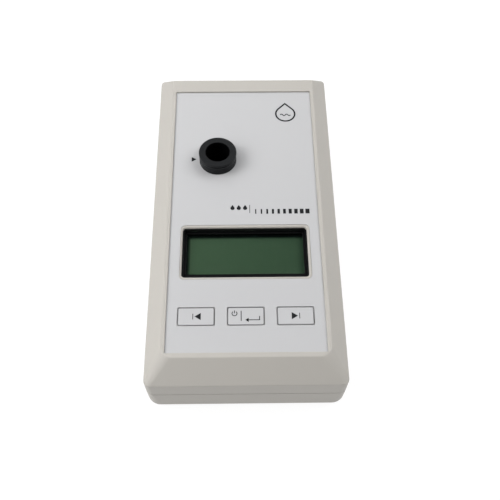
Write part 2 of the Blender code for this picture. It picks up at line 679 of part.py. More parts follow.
# ---------------------------------------------------------------- optics
def make_collar(finish):
    """The light-tight collar round the mouth of the well, with a spigot down into the block."""
    base = PANEL_BOTTOM_Z
    top = COLLAR_TOP_Z
    profile = (
        (WELL_RADIUS, COLLAR_SPIGOT_Z),
        (COLLAR_SPIGOT_RADIUS, COLLAR_SPIGOT_Z),
        (COLLAR_SPIGOT_RADIUS, base),
        (COLLAR_RADIUS, base),
        (COLLAR_RADIUS, top - COLLAR_BEVEL),
        (COLLAR_RADIUS - COLLAR_BEVEL, top),
        (WELL_RADIUS + WELL_CHAMFER, top),
        (WELL_RADIUS, top - WELL_CHAMFER),
    )
    turned("cuvette_collar", profile, finish, (WELL_X, WELL_Y, 0), ROUND, hollow=True)


def beam_bore(name, radius, from_x, to_x):
    """A cutter along the beam, between two distances from the well's axis."""
    place = (WELL_X, WELL_Y, BEAM_Z)
    return turned(name, ((radius, from_x), (radius, to_x)), None, place, SMALL, axis="X")


def make_optical_block(finish):
    half_x, half_y = BLOCK_SIZE[0] / 2, BLOCK_SIZE[1] / 2
    low = (WELL_X - half_x, WELL_Y - half_y, BLOCK_BOTTOM_Z)
    high = (WELL_X + half_x, WELL_Y + half_y, BLOCK_TOP_Z)
    block = box("optical_block", low, high, finish)
    for i, ((side, _), (x, y)) in enumerate(zip(LUGS, lug_screw_places())):
        near, far = sorted((WELL_Y + side * (half_y - PAST), WELL_Y + side * (half_y + LUG_REACH)))
        low, high = (x - LUG_HALF_WIDTH, near, LUG_BOTTOM_Z), (x + LUG_HALF_WIDTH, far, LUG_TOP_Z)
        join(block, box(f"lug_{i}", low, high, None))
        cut(block, peg(f"cut_lug_{i}", 1.5 * MM, LUG_BOTTOM_Z - PAST, LUG_TOP_Z + PAST, x, y))
    above = BLOCK_TOP_Z + PAST
    seat_radius = COLLAR_SPIGOT_RADIUS + GAP
    cut(
        block,
        peg("cut_well", WELL_RADIUS, WELL_FLOOR_Z, above, WELL_X, WELL_Y, ROUND),
        peg("cut_spigot_seat", seat_radius, COLLAR_SPIGOT_Z - GAP, above, WELL_X, WELL_Y, ROUND),
        beam_bore("cut_emitter_bore", 2.8 * MM, -half_x - PAST, PAST - WELL_RADIUS),
        beam_bore("cut_emitter_flange", 3.3 * MM, -half_x - PAST, -half_x + 1.5 * MM),
        beam_bore("cut_aperture", 2 * MM, WELL_RADIUS - PAST, half_x - 5 * MM),
        beam_bore("cut_detector_bore", 4.4 * MM, half_x - 9 * MM, half_x + PAST),
    )


def make_optics(finishes):
    """The block and collar, and along the beam: LED, well, interference filter and photodiode."""
    make_optical_block(finishes["black"])
    make_collar(finishes["black"])
    left = WELL_X - BLOCK_SIZE[0] / 2
    right = WELL_X + BLOCK_SIZE[0] / 2
    led = ((2.9, 0), (2.9, 1), (2.5, 1), (2.5, 6), (2.1, 7.5), (0.9, 8.5))
    filter_disc = ((3.9, 0), (4.1, 0.2), (4.1, 2.8), (3.9, 3))
    detector = ((4.1, 0), (4.1, 4.6), (3.8, 5))
    for name, profile, x, finish in (
        ("emitter_led", led, left + 0.2 * MM, finishes["led"]),
        ("interference_filter", filter_disc, right - 8.7 * MM, finishes["glass"]),
        ("photodiode", detector, right - 5.2 * MM, finishes["can"]),
    ):
        profile = [(radius * MM, along * MM) for radius, along in profile]
        turned(name, profile, finish, (x, WELL_Y, BEAM_Z), ROUND, axis="X")
    half_y = OPTICS_BOARD[0] / 2
    bottom = BEAM_Z - 6 * MM
    for name, low_x in (("emitter_board", left - GAP - BOARD), ("detector_board", right + GAP)):
        low = (low_x, WELL_Y - half_y, bottom)
        high = (low_x + BOARD, WELL_Y + half_y, bottom + OPTICS_BOARD[1])
        box(name, low, high, finishes["board"])
    ends = LUG_TOP_Z + GAP, BLOCK_BOTTOM_Z
    for i, (x, y) in enumerate(lug_screw_places()):
        make_screw(f"block_screw_{i + 1}", x, y, *ends, 2.5 * MM, 1.1 * MM, finishes["steel"])


# ---------------------------------------------------------------- battery and its door
def make_battery(finishes):
    """A nine volt block lying across the case, and the snap on its terminals."""
    half_x, half_y = BATTERY_SIZE[0] / 2, BATTERY_SIZE[1] / 2
    end_x = BATTERY_X + half_x
    top_z = BATTERY_BOTTOM_Z + BATTERY_SIZE[2]
    low, high = (BATTERY_X - half_x, BATTERY_Y - half_y, BATTERY_BOTTOM_Z), (end_x, BATTERY_Y + half_y, top_z)
    jacket = box("battery", low, high, finishes["battery"])
    bevel(jacket, 1.5 * MM, 3)
    low = (end_x + GAP, BATTERY_Y - SNAP_HALF_WIDTH, BATTERY_BOTTOM_Z + SNAP_INSET)
    high = (end_x + SNAP_DEPTH, BATTERY_Y + SNAP_HALF_WIDTH, top_z - SNAP_INSET)
    snap = box("battery_snap", low, high, finishes["black"])
    bevel(snap, 1 * MM, 2)
    for side in (-1, 1):
        place = (end_x, BATTERY_Y + side * STUD_PITCH / 2, (BATTERY_BOTTOM_Z + top_z) / 2)
        stud = ((STUD_RADIUS, -PAST), (STUD_RADIUS, STUD_HEIGHT))
        room = ((STUD_RADIUS + GAP, -PAST), (STUD_RADIUS + GAP, STUD_HEIGHT + GAP))
        join(jacket, turned(f"stud_{side}", stud, None, place, SMALL, axis="X"))
        cut(snap, turned(f"cut_stud_{side}", room, None, place, SMALL, axis="X"))


def make_door(finishes):
    """The door turns on two pins at its front edge, which is rounded about their axis."""
    half_thick = DOOR_THICKNESS / 2
    half_width = DOOR_WIDTH / 2
    reach = DOOR_REAR - DOOR_AXIS_Y
    side = [(reach, -half_thick), (reach, half_thick)]
    for step in range(9):
        angle = math.radians(90 + 180 * step / 8)
        side.append((half_thick * math.cos(angle), half_thick * math.sin(angle)))
    rings = [[(x, y, z) for y, z in side] for x in (-half_width, half_width)]
    door = link("battery_door", skin(rings), finishes["case"], (0, DOOR_AXIS_Y, DOOR_AXIS_Z))
    top_z = BASE_Z + DOOR_THICKNESS
    latch_rear = DOOR_REAR - LATCH_THICKNESS
    latch = box(
        "door_latch",
        (-LATCH_HALF_WIDTH, latch_rear - LATCH_THICKNESS, top_z - DOOR_THICKNESS / 2),
        (LATCH_HALF_WIDTH, latch_rear, top_z + LATCH_HEIGHT),
        None,
    )
    join(door, door_pins("door_pins", DOOR_PIN_RADIUS, half_width + DOOR_PIN_LENGTH), latch)
    notch_low = (-NOTCH_HALF_WIDTH, DOOR_REAR - 8 * MM, BASE_Z - PAST)
    notch_high = (NOTCH_HALF_WIDTH, DOOR_REAR - 4.5 * MM, BASE_Z + NOTCH_DEPTH)
    cut(door, box("cut_nail_notch", notch_low, notch_high, None))
    pad_low = (-PAD_HALF[0], BATTERY_Y - PAD_HALF[1], top_z + GAP)
    pad_high = (PAD_HALF[0], BATTERY_Y + PAD_HALF[1], BATTERY_BOTTOM_Z - GAP)
    box("door_pad", pad_low, pad_high, finishes["foam"])


# ---------------------------------------------------------------- wiring inside the case
def make_wiring(finishes):
    """Two leads from the battery snap and a flat ribbon from each board of the optics."""
    snap_x = (BATTERY_X + BATTERY_SIZE[0] / 2 + SNAP_DEPTH) / MM
    board_z = MAIN_BOARD_TOP_Z / MM
    for name, finish, start_y, lane, end_x in (
        ("lead_positive", finishes["red"], 69.5, 43.5, 36.0),
        ("lead_negative", finishes["black"], 65.5, 40.5, 33.5),
    ):
        route = (
            (snap_x + 0.4, start_y, 19.0),
            (snap_x + 4.0, start_y - 0.5, 19.5),
            (lane, start_y - 11.0, 18.5),
            (lane, 44.0, 17.0),
            (lane, 30.0, 17.0),
            (lane - 0.5, 21.0, 18.5),
            (end_x + 1.0, 15.5, 20.5),
            (end_x, 12.8, 19.6),
            (end_x, 12.3, board_z + 1.2),
        )
        tube_along(name, route, 0.7 * MM, finish)
    board_reach = (BLOCK_SIZE[0] / 2 + 2 * GAP + BOARD) / MM + 0.4
    for name, way in (("emitter_ribbon", -1), ("detector_ribbon", 1)):
        make_ribbon(name, WELL_X / MM + way * board_reach, way, finishes["grey"])


def make_ribbon(name, x, way, finish):
    """A flat ribbon standing on edge, from a board of the optics forward to the main board."""
    board_z = MAIN_BOARD_TOP_Z / MM
    half_thick = 0.4
    height = 4.0
    route = (
        (x, 30.0, 20.0),
        (x + way * 0.8, 26.0, 20.0),
        (x + way * 1.2, 21.0, 19.5),
        (x + way * 1.2, 16.5, 18.5),
        (x + way * 1.0, 13.0, board_z + 0.4),
        (x + way * 0.8, 10.5, board_z + 0.4),
    )
    rings = []
    for px, py, pz in route:
        section = (
            (px - half_thick, py, pz),
            (px + half_thick, py, pz),
            (px + half_thick, py, pz + height),
            (px - half_thick, py, pz + height),
        )
        rings.append([Vector(point) * MM for point in section])
    link(name, skin(rings), finish)


# ---------------------------------------------------------------- fasteners and feet
def make_case_screws(finish):
    seat_z = CASE_SCREW_SHOULDER_Z - GAP
    sizes = (CASE_HEAD_RADIUS, CASE_SHANK_RADIUS)
    for i, (x, y) in enumerate(case_screw_places()):
        make_screw(f"case_screw_{i + 1}", x, y, seat_z, CASE_SCREW_TIP_Z, *sizes, finish, 2.2 * MM)


def make_feet(finish):
    height = BASE_Z + FOOT_RECESS - GAP
    edge = 0.5 * MM
    profile = ((FOOT_RADIUS - edge, 0), (FOOT_RADIUS, edge), (FOOT_RADIUS, height))
    for i, (x, y) in enumerate(FEET):
        turned(f"foot_{i + 1}", profile, finish, (x * MM, y * MM, 0), 24)


def smooth_round_pieces():
    """Shades curved faces smooth and keeps creases sharp."""
    for obj in bpy.data.objects:
        if obj.type == "MESH":
            obj.data.shade_smooth()
            obj.data.set_sharp_from_angle(angle=math.radians(35))


def main():
    clear_scene()
    finishes = make_finishes()
    make_upper_shell(finishes["case"])
    make_lower_shell(finishes["case"])
    make_panel_film(finishes["film"])
    for name, x in key_places():
        make_key(name, x, finishes)
    make_display(finishes)
    make_main_board(finishes)
    make_optics(finishes)
    make_battery(finishes)
    make_door(finishes)
    make_wiring(finishes)
    make_case_screws(finishes["steel"])
    make_feet(finishes["rubber"])
    smooth_round_pieces()


main()
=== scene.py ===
"""The looks of a handheld photometer for testing water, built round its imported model.

The two shells, the front panel, keys, collar, display, battery, door, screws and feet are
finely rounded pieces that stand for their CAD nodes. What is sealed inside keeps its CAD shape.
Every surface gets a material made from nodes, and every piece rides on its body.

Lengths are in metres, written as 1.5 * MM where they are millimetres.
"""

import json
from math import acos, cos, hypot, pi, radians, sin, tan

import bmesh
import bpy
from mathutils import Matrix, Vector


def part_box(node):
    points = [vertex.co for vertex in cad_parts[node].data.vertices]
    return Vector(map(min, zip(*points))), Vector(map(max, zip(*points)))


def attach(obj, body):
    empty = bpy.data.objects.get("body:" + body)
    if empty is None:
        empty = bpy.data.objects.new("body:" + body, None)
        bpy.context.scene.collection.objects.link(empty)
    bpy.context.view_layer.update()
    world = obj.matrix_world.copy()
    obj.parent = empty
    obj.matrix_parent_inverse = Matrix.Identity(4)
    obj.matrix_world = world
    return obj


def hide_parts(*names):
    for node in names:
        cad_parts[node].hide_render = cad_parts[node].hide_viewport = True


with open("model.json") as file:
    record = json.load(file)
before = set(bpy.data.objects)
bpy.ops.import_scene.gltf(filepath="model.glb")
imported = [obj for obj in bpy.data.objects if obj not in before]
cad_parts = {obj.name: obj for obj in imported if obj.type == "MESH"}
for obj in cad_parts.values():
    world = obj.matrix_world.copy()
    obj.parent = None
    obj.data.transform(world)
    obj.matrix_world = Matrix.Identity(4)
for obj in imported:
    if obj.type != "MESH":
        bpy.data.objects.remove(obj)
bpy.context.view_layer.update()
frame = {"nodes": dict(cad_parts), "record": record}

MM = 0.001


def mm(*sizes):
    """Several lengths given in millimetres."""
    return tuple(size * MM for size in sizes)


PAST = 1 * MM  # how far a cutter runs past the face it opens
GAP = 0.3 * MM  # clearance between the CAD solids
FIT = 0.28 * MM  # how far the panel film reaches into that clearance

# ---- case, from the two shells' boxes
UPPER_LOW, UPPER_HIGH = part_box("upper_shell")
LOWER_LOW, LOWER_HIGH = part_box("lower_shell")
HALF_WIDTH = UPPER_HIGH.x
FRONT_Y = UPPER_LOW.y
REAR_Y = UPPER_HIGH.y
RIM_Z = UPPER_HIGH.z
PARTING_Z = UPPER_LOW.z
BASE_Z = LOWER_LOW.z
RIDGE_Z = RIM_Z - 9.2 * MM
SIDE_SLOPE = 8.3 * MM  # widths of the shoulders in plan
FRONT_SLOPE = 11 * MM
REAR_SLOPE = 8 * MM
SLOPE_RISE = RIM_Z - RIDGE_Z
WALL = 2.5 * MM
TONGUE_HEIGHT = 2.3 * MM
TONGUE_INSET = 1.5 * MM
INNER_CORNER = 3 * MM
BASE_EDGE = 2.0 * MM
LOWER_TOP_Z = LOWER_HIGH.z - TONGUE_HEIGHT
RIM_OF_LOWER_Z = PARTING_Z - 0.25 * MM
CORNERS = (  # height, radius of the front and of the rear corners there
    (BASE_Z, 6.9 * MM, 6.9 * MM),
    (PARTING_Z, 4.4 * MM, 4.4 * MM),
    (RIDGE_Z, 3.4 * MM, 2.4 * MM),
    (RIM_Z, 6.0 * MM, 1.0 * MM),
)
FLOOR_Z = BASE_Z + WALL

# ---- front panel
FILM_LOW, FILM_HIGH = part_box("panel_film")
FILM_TOP_Z = FILM_HIGH.z
RECESS_FLOOR_Z = FILM_LOW.z - GAP
CEILING_Z = RECESS_FLOOR_Z - WALL
PANEL_FRONT_Y = FILM_LOW.y + 0.55 * MM
PANEL_Y = (PANEL_FRONT_Y + FILM_HIGH.y) / 2
PANEL_WIDTH = FILM_HIGH.x - FILM_LOW.x
PANEL_LENGTH = FILM_HIGH.y - PANEL_FRONT_Y
FILM_HOLE = mm(68.3, 33.4, 2.6)  # width, length, corner radius
FILM_HOLE_AT = mm(0.2, -28.65)
WINDOW = mm(65.7, 30.2, 1.8)
WINDOW_AT = mm(0, -28.7)
WINDOW_LIP = 0.9 * MM
LIP_ROOM = 0.24 * MM  # between the raised lip round the window and the film, both sides together
LIP_TOP_Z = FILM_TOP_Z - 0.1 * MM
VIEW = mm(61.8, 24.9)  # the opening in the display's frame
VIEW_Y = -27.6 * MM
KEYS = ("back", "enter", "next")
KEY_CORNER = 0.9 * MM
KEY_GUIDE = (16.6 * MM, 8.2 * MM, KEY_CORNER)
KEY_ROOM = 0.4 * MM
KEY_TRAVEL = 0.5 * MM
KEY_LINE = 0.22 * MM
INK_Z = (FILM_TOP_Z, FILM_TOP_Z + 0.03 * MM)  # faces of a printed mark
CELL_DEPTH = 1.9 * MM  # from the glass's face down to the green cell

# ---- well, battery and fasteners
COLLAR_LOW, COLLAR_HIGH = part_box("cuvette_collar")
WELL_X = (COLLAR_LOW.x + COLLAR_HIGH.x) / 2
WELL_Y = (COLLAR_LOW.y + COLLAR_HIGH.y) / 2
COLLAR_RADIUS = 10.3 * MM
FLANGE_RADIUS = COLLAR_RADIUS + 0.15 * MM
GROOVE_RADIUS = COLLAR_RADIUS - 0.4 * MM
COLLAR_EDGE = 0.4 * MM
SPIGOT_RADIUS = 8.3 * MM
WELL_RADIUS = 6.6 * MM
DOOR_LOW, DOOR_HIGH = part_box("battery_door")
DOOR_HALF = 28 * MM
DOOR_THICK = 2.2 * MM
DOOR_AXIS = Vector((0, DOOR_LOW.y + DOOR_THICK / 2, BASE_Z + DOOR_THICK / 2))
PIN_RADIUS = 0.7 * MM
DOOR_ROOM = 0.4 * MM
BATTERY_LOW, BATTERY_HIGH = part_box("battery")
BATTERY_STUD = 2.9 * MM
CASE_SCREWS = [mm(x, y) for y in (-88, 88) for x in (-40, 40)]
BOARD_SCREWS = [mm(x, y) for y in (-78, 10) for x in (-40, 40)]
DISPLAY_Y = -28.6 * MM
DISPLAY_HOLES = [(x * MM, DISPLAY_Y + y * MM) for y in (-27.5, 27.5) for x in (-41, 41)]
LUG_SCREWS = [(WELL_X + 9 * MM, WELL_Y - 16 * MM), (WELL_X - 9 * MM, WELL_Y + 16 * MM)]
LUG_Z = 8 * MM  # underside of the optical block's lugs
FEET = [mm(x, y) for y in (-68, 68) for x in (-36, 36)]
FOOT_RADIUS = 6 * MM

CORNER = 10  # segments in a rounded corner
EDGE = 5  # segments in a rounded edge
ROUND = 96  # sides of a large round piece
SMALL = 48  # sides of a screw or a pin
SHARP_FROM = 30  # degrees between two faces that meet in a sharp edge

# ---- colours
CASE_COLOUR = (0.423, 0.404, 0.373)
FILM_COLOUR = (0.459, 0.460, 0.468)
COLLAR_COLOUR = (0.0095, 0.0105, 0.0115)
BORE_BLACK_AND_GROOVE_SHADE = (0.0015, 0.0016, 0.0018)  # painted shade in the collar's grooves, and a deeper black in the well's bore
CELL_COLOUR = (0.135, 0.187, 0.137)
CELL_SHADED_FAR_COLOUR = (0.098, 0.145, 0.108)  # painted shade: the cell darker towards its right end
# painted shadow of the display frame on the cell's left and rear edges
CELL_EDGE_SHADOW_COLOUR = (0.006, 0.01, 0.012)

# ---- camera and lights
CAMERA_AT = Vector(mm(-2.344, -245.413, 382.936))
CAMERA_PITCH = 57.97  # degrees below the horizon
CAMERA_YAW = 1.30
CAMERA_ROLL = 0.62
LENS = 56.58
LIGHTS = (  # name, where it stands, width, height, power
    ("left", (-0.6, 0.0, 0.5), 0.4, 0.4, 3.5),
    ("rear_left", (-0.42, 0.45, 0.5), 0.4, 0.4, 0.8),
    ("left_high", (-0.8, 0.0, 1.5), 1.0, 0.8, 7.0),
    ("front_left", (-0.5, -0.45, 0.45), 0.4, 0.4, 1.0),
    ("front_high", (0.0, -0.8, 1.5), 1.0, 0.8, 2.4),
    ("rear", (0.0, 0.6, 0.45), 0.4, 0.4, 0.8),
    ("right", (1.1, 0.3, 1.2), 1.4, 1.4, 14.6),
    ("right_high", (0.95, 0.35, 1.05), 0.8, 0.8, 4.4),
)
HORIZON_GLOW = 0.85
HORIZON = (0.05, 0.22)  # heights between which that glow fades out
FLOOR_GLOW = 0.9
FLOOR_DROP = 0.02 * MM  # how far the floor lies below the feet


# ---- outlines
def oblong(half_x, low_y, high_y, radius, z, steps=CORNER):
    """A rectangle with round corners, anticlockwise, at one height. Two radii mean front and rear."""
    front, rear = radius if isinstance(radius, tuple) else (radius, radius)
    centres = (
        (half_x - rear, high_y - rear, rear, 0),
        (rear - half_x, high_y - rear, rear, 90),
        (front - half_x, low_y + front, front, 180),
        (half_x - front, low_y + front, front, 270),
    )
    points = []
    for x, y, size, start in centres:
        for step in range(steps + 1):
            turn = radians(start + 90 * step / steps)
            points.append(Vector((x + size * cos(turn), y + size * sin(turn), z)))
    return points


def circle(radius, z, sides=ROUND):
    turns = (2 * pi * i / sides for i in range(sides))
    return [Vector((radius * cos(t), radius * sin(t), z)) for t in turns]


def rounded(line, closed=False, steps=EDGE):
    """A line in a plane with its corners rounded. Its points are (across, up, radius)."""
    made = []
    last = len(line) - 1
    for i, (across, up, radius) in enumerate(line):
        here = Vector((across, up))
        if radius == 0 or (not closed and i in (0, last)):
            made.append(here)
            continue
        back = (Vector(line[i - 1][:2]) - here).normalized()
        onward = (Vector(line[(i + 1) % len(line)][:2]) - here).normalized()
        half = back.angle(onward) / 2
        centre = here + (back + onward).normalized() * radius / sin(half)
        start = here + back * radius / tan(half) - centre
        end = here + onward * radius / tan(half) - centre
        for step in range(steps + 1):
            made.append(centre + start.lerp(end, step / steps).normalized() * radius)
    return made


def lip_rows(face_z, floor_z, lip):
    """(growth, height) rows of a cutter from a face to a floor, that leaves the hole's edge round."""
    into = 1 if floor_z > face_z else -1
    rows = [(lip, face_z - into * PAST)]
    for step in range(EDGE + 1):
        turn = radians(90 * step / EDGE)
        rows.append((lip * (1 - sin(turn)), face_z + into * lip * (1 - cos(turn))))
    return rows + [(0, floor_z)]


# ---- meshes and pieces
def skin(rings, closed=False):
    """A closed bmesh over rings that have the same number of points."""
    made = bmesh.new()
    loops = [[made.verts.new(point) for point in ring] for ring in rings]
    count = len(loops[0])
    pairs = list(zip(loops, loops[1:]))
    if closed:
        pairs.append((loops[-1], loops[0]))
    else:
        made.faces.new(loops[0][::-1])
        made.faces.new(loops[-1])
    for low, high in pairs:
        for i in range(count):
            j = (i + 1) % count
            made.faces.new((low[i], low[j], high[j], high[i]))
    return made


def link(made):
    bpy.context.scene.collection.objects.link(made)
    return made


def solid(name, shape, at=(0, 0, 0)):
    """Links a bmesh as an object whose place is in its mesh."""
    bmesh.ops.translate(shape, vec=at, verts=shape.verts)
    bmesh.ops.recalc_face_normals(shape, faces=shape.faces)
    mesh = bpy.data.meshes.new(name)
    shape.to_mesh(mesh)
    shape.free()
    return link(bpy.data.objects.new(name, mesh))


def block(low, high):
    low, high = Vector(low), Vector(high)
    shape = bmesh.new()
    bmesh.ops.create_cube(shape, size=1)
    bmesh.ops.scale(shape, vec=high - low, verts=shape.verts)
    return solid("tool", shape, (low + high) / 2)


def peg(radius, low, high, x, y, sides=SMALL):
    return solid("tool", skin([circle(radius, z, sides) for z in (low, high)]), (x, y, 0))


def round_hole(radius, face_z, floor_z, lip, x, y, sides=SMALL):
    rows = lip_rows(face_z, floor_z, lip)
    return solid("tool", skin([circle(radius + grow, z, sides) for grow, z in rows]), (x, y, 0))


def oblong_hole(size, face_z, floor_z, lip, x, y):
    """A cutter with round corners and a round lip. The size is (width, length, corner radius)."""
    half_x, half_y, corner = size[0] / 2, size[1] / 2, size[2]
    rings = []
    for grow, z in lip_rows(face_z, floor_z, lip):
        rings.append(oblong(half_x + grow, -half_y - grow, half_y + grow, corner + grow, z))
    return solid("tool", skin(rings), (x, y, 0))


def slab(name, size, low_z, high_z, edge, x=0.0, y=0.0, both=True):
    """A plate with round corners and rounded edges above, and below too unless both is False."""
    half_x, half_y, corner = size[0] / 2, size[1] / 2, size[2]
    under = edge if both else 0
    line = [(under + PAST, low_z, 0), (0, low_z, under), (0, high_z, edge), (edge + PAST, high_z, 0)]
    rings = []
    for inset, z in rounded(line):
        radius = max(corner - min(inset, edge), 0.05 * MM)
        rings.append(oblong(half_x - inset, inset - half_y, half_y - inset, radius, z))
    return solid(name, skin(rings), (x, y, 0))


def turned(name, line, at):
    """A turned piece with a hole through it. The line's points are (radius, height, rounding)."""
    rings = [circle(radius, z) for radius, z in rounded(line, closed=True)]
    return solid(name, skin(rings, closed=True), at)


def spun(name, line, at, sides=SMALL, axis="Z"):
    """A turned solid piece, with flat ends, that stands along Z or lies along X."""
    shape = skin([circle(radius, z, sides) for radius, z in rounded(line)])
    if axis == "X":
        turn = Matrix.Rotation(radians(90), 3, "Y")
        bmesh.ops.rotate(shape, cent=(0, 0, 0), matrix=turn, verts=shape.verts)
    return solid(name, shape, at)


def combine(piece, operation, tools):
    for tool in tools:
        modifier = piece.modifiers.new("shape", "BOOLEAN")
        modifier.operation = operation
        modifier.solver = "EXACT"
        modifier.object = tool


def cut(piece, *tools):
    combine(piece, "DIFFERENCE", tools)


def join(piece, *tools):
    combine(piece, "UNION", tools)


def settle(piece):
    """Turns a piece's modifiers into its mesh, removes its tools, and shades it smooth."""
    tools = []
    stack = [piece]
    while stack:
        for modifier in stack.pop().modifiers:
            if modifier.type == "BOOLEAN":
                tools.append(modifier.object)
                stack.append(modifier.object)
    graph = bpy.context.evaluated_depsgraph_get()
    made = bpy.data.meshes.new_from_object(piece.evaluated_get(graph))
    piece.modifiers.clear()
    piece.data = made
    for tool in tools:
        bpy.data.objects.remove(tool)
    made.shade_smooth()
    made.set_sharp_from_angle(angle=radians(SHARP_FROM))
    weighted = piece.modifiers.new("normals", "WEIGHTED_NORMAL")
    weighted.keep_sharp = True
    return piece


def place(piece, body, slot, *nodes, finish=None):
    """Gives a piece its body and a finish, the slot's unless one is given, and hides the nodes it stands
    for.
    """
    piece.data.materials.clear()
    piece.data.materials.append(finish or FINISHES[slot])
    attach(piece, body)
    if nodes:
        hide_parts(*nodes)


# ---- node materials
def feed(tree, sockets, values):
    """Sets input sockets to values, or links them to other nodes' outputs."""
    for key, value in values.items():
        if isinstance(value, bpy.types.NodeSocket):
            tree.links.new(value, sockets[key])
        else:
            sockets[key].default_value = value


def add(tree, kind, inputs=None, **settings):
    """A shader node with its settings made and its inputs fed."""
    made = tree.nodes.new("ShaderNode" + kind)
    for key, value in settings.items():
        setattr(made, key, value)
    feed(tree, made.inputs, inputs or {})
    return made


def maths(tree, operation, first, second=0.5):
    return add(tree, "Math", {0: first, 1: second}, operation=operation).outputs[0]


def ramp(tree, value, low, high, from_value=0.0, to_value=1.0):
    """A value moved from one range to another, and held inside it."""
    inputs = {"Value": value, "From Min": low, "From Max": high, "To Min": from_value, "To Max": to_value}
    return add(tree, "MapRange", inputs).outputs["Result"]


def mix(tree, share, first, second):
    """One colour mixed into another."""
    inputs = {"Factor": share}
    for key, colour in ((6, first), (7, second)):
        inputs[key] = colour if isinstance(colour, bpy.types.NodeSocket) else (*colour, 1)
    return add(tree, "Mix", inputs, data_type="RGBA").outputs[2]


def shaded(colour, share):
    return tuple(channel * share for channel in colour)


def where(tree):
    """The point on the surface."""
    return add(tree, "TexCoord").outputs["Object"]


def only(tree, point, axis):
    """One coordinate of a point."""
    return add(tree, "SeparateXYZ", {"Vector": point}).outputs[axis]


def stretched(tree, point, scale):
    return add(tree, "Mapping", {"Vector": point, "Scale": scale}).outputs["Vector"]


def noise(tree, point, size, detail=2.0, roughness=0.5):
    """Smooth noise whose features are about size across."""
    inputs = {"Vector": point, "Scale": 1 / size, "Detail": detail, "Roughness": roughness}
    return add(tree, "TexNoise", inputs).outputs["Fac"]


def bump(tree, height, depth, under=None):
    inputs = {"Height": height, "Distance": depth, "Strength": 1.0}
    if under is not None:
        inputs["Normal"] = under
    return add(tree, "Bump", inputs).outputs["Normal"]


def new_finish(name, colour, roughness, metallic=0.0, specular=0.5):
    """A material with a Principled shader, its tree and the shader's inputs."""
    material = bpy.data.materials.new(name)
    material.use_nodes = True
    material.diffuse_color = (*colour, 1)
    tree = material.node_tree
    inputs = tree.nodes["Principled BSDF"].inputs
    values = {"Base Color": (*colour, 1), "Roughness": roughness, "Metallic": metallic}
    feed(tree, inputs, {**values, "Specular IOR Level": specular})
    return material, tree, inputs


def grained(name, colour, roughness, grain, depth, mottle=0.02, metallic=0.0, specular=0.5, wander=6 * MM):
    """A moulded or painted surface: fine grain, slow colour drift and uneven gloss."""
    material, tree, inputs = new_finish(name, colour, roughness, metallic, specular)
    point = where(tree)
    drift = noise(tree, point, wander, 3)
    tint = mix(tree, drift, shaded(colour, 1 - mottle), shaded(colour, 1 + mottle))
    fine = noise(tree, point, grain, 3, 0.6)
    gloss = ramp(tree, fine, 0.3, 0.7, roughness - 0.05, roughness + 0.05)
    feed(tree, inputs, {"Base Color": tint, "Roughness": gloss, "Normal": bump(tree, fine, depth)})
    return material, tree, inputs


def wear_and_crease_shade(tree, inputs, radius, lighter, reach):
    """Lightens the edges that hands rub, and darkens the creases by their occlusion: painted shade."""
    colour = inputs["Base Color"].links[0].from_socket
    plain = add(tree, "NewGeometry").outputs["Normal"]
    soft = add(tree, "Bevel", {"Radius": radius}, samples=4).outputs["Normal"]
    agree = add(tree, "VectorMath", {0: plain, 1: soft}, operation="DOT_PRODUCT").outputs["Value"]
    patchy = ramp(tree, noise(tree, where(tree), 3 * MM, 3), 0.35, 0.6)
    share = maths(tree, "MULTIPLY", ramp(tree, agree, 1.0, 0.93), patchy)
    worn = mix(tree, maths(tree, "MULTIPLY", share, 0.5), colour, lighter)
    # painted shade: ambient occlusion darkens the creases and recess walls
    hollow = add(tree, "AmbientOcclusion", {"Distance": reach}, samples=4).outputs["AO"]
    crease_shade = ramp(tree, hollow, 0.2, 0.7, 0.2, 0.0)
    feed(tree, inputs, {"Base Color": mix(tree, crease_shade, worn, shaded(lighter, 0.55))})


def case_finish():
    """Warm off-white ABS with the fine spark-eroded grain of a mould."""
    grain, depth, wander = mm(0.32, 0.012, 14)
    material, tree, inputs = grained("case_abs", CASE_COLOUR, 0.55, grain, depth, 0.012, wander=wander)
    # edge wear, and painted shade in the creases
    wear_and_crease_shade(tree, inputs, 0.4 * MM, shaded(CASE_COLOUR, 1.02), 0.7 * MM)
    return material


def film_finish():
    """Cool white polyester film with a velvet emboss."""
    grain, depth, wander = mm(0.16, 0.004, 30)
    material, tree, inputs = grained("polyester_film", FILM_COLOUR, 0.42, grain, depth, 0.006, wander=wander)
    waviness = noise(tree, where(tree), 9 * MM, 1)
    fine = inputs["Normal"].links[0].from_socket
    feed(tree, inputs, {"Normal": bump(tree, waviness, 0.01 * MM, fine)})
    return material


def inky(name, colour, grain=0.1 * MM, specular=0.12):
    """A dull dark surface: printed ink, or black paint."""
    return grained(name, colour, 0.5, grain, 0.003 * MM, 0.1, specular=specular)[0]


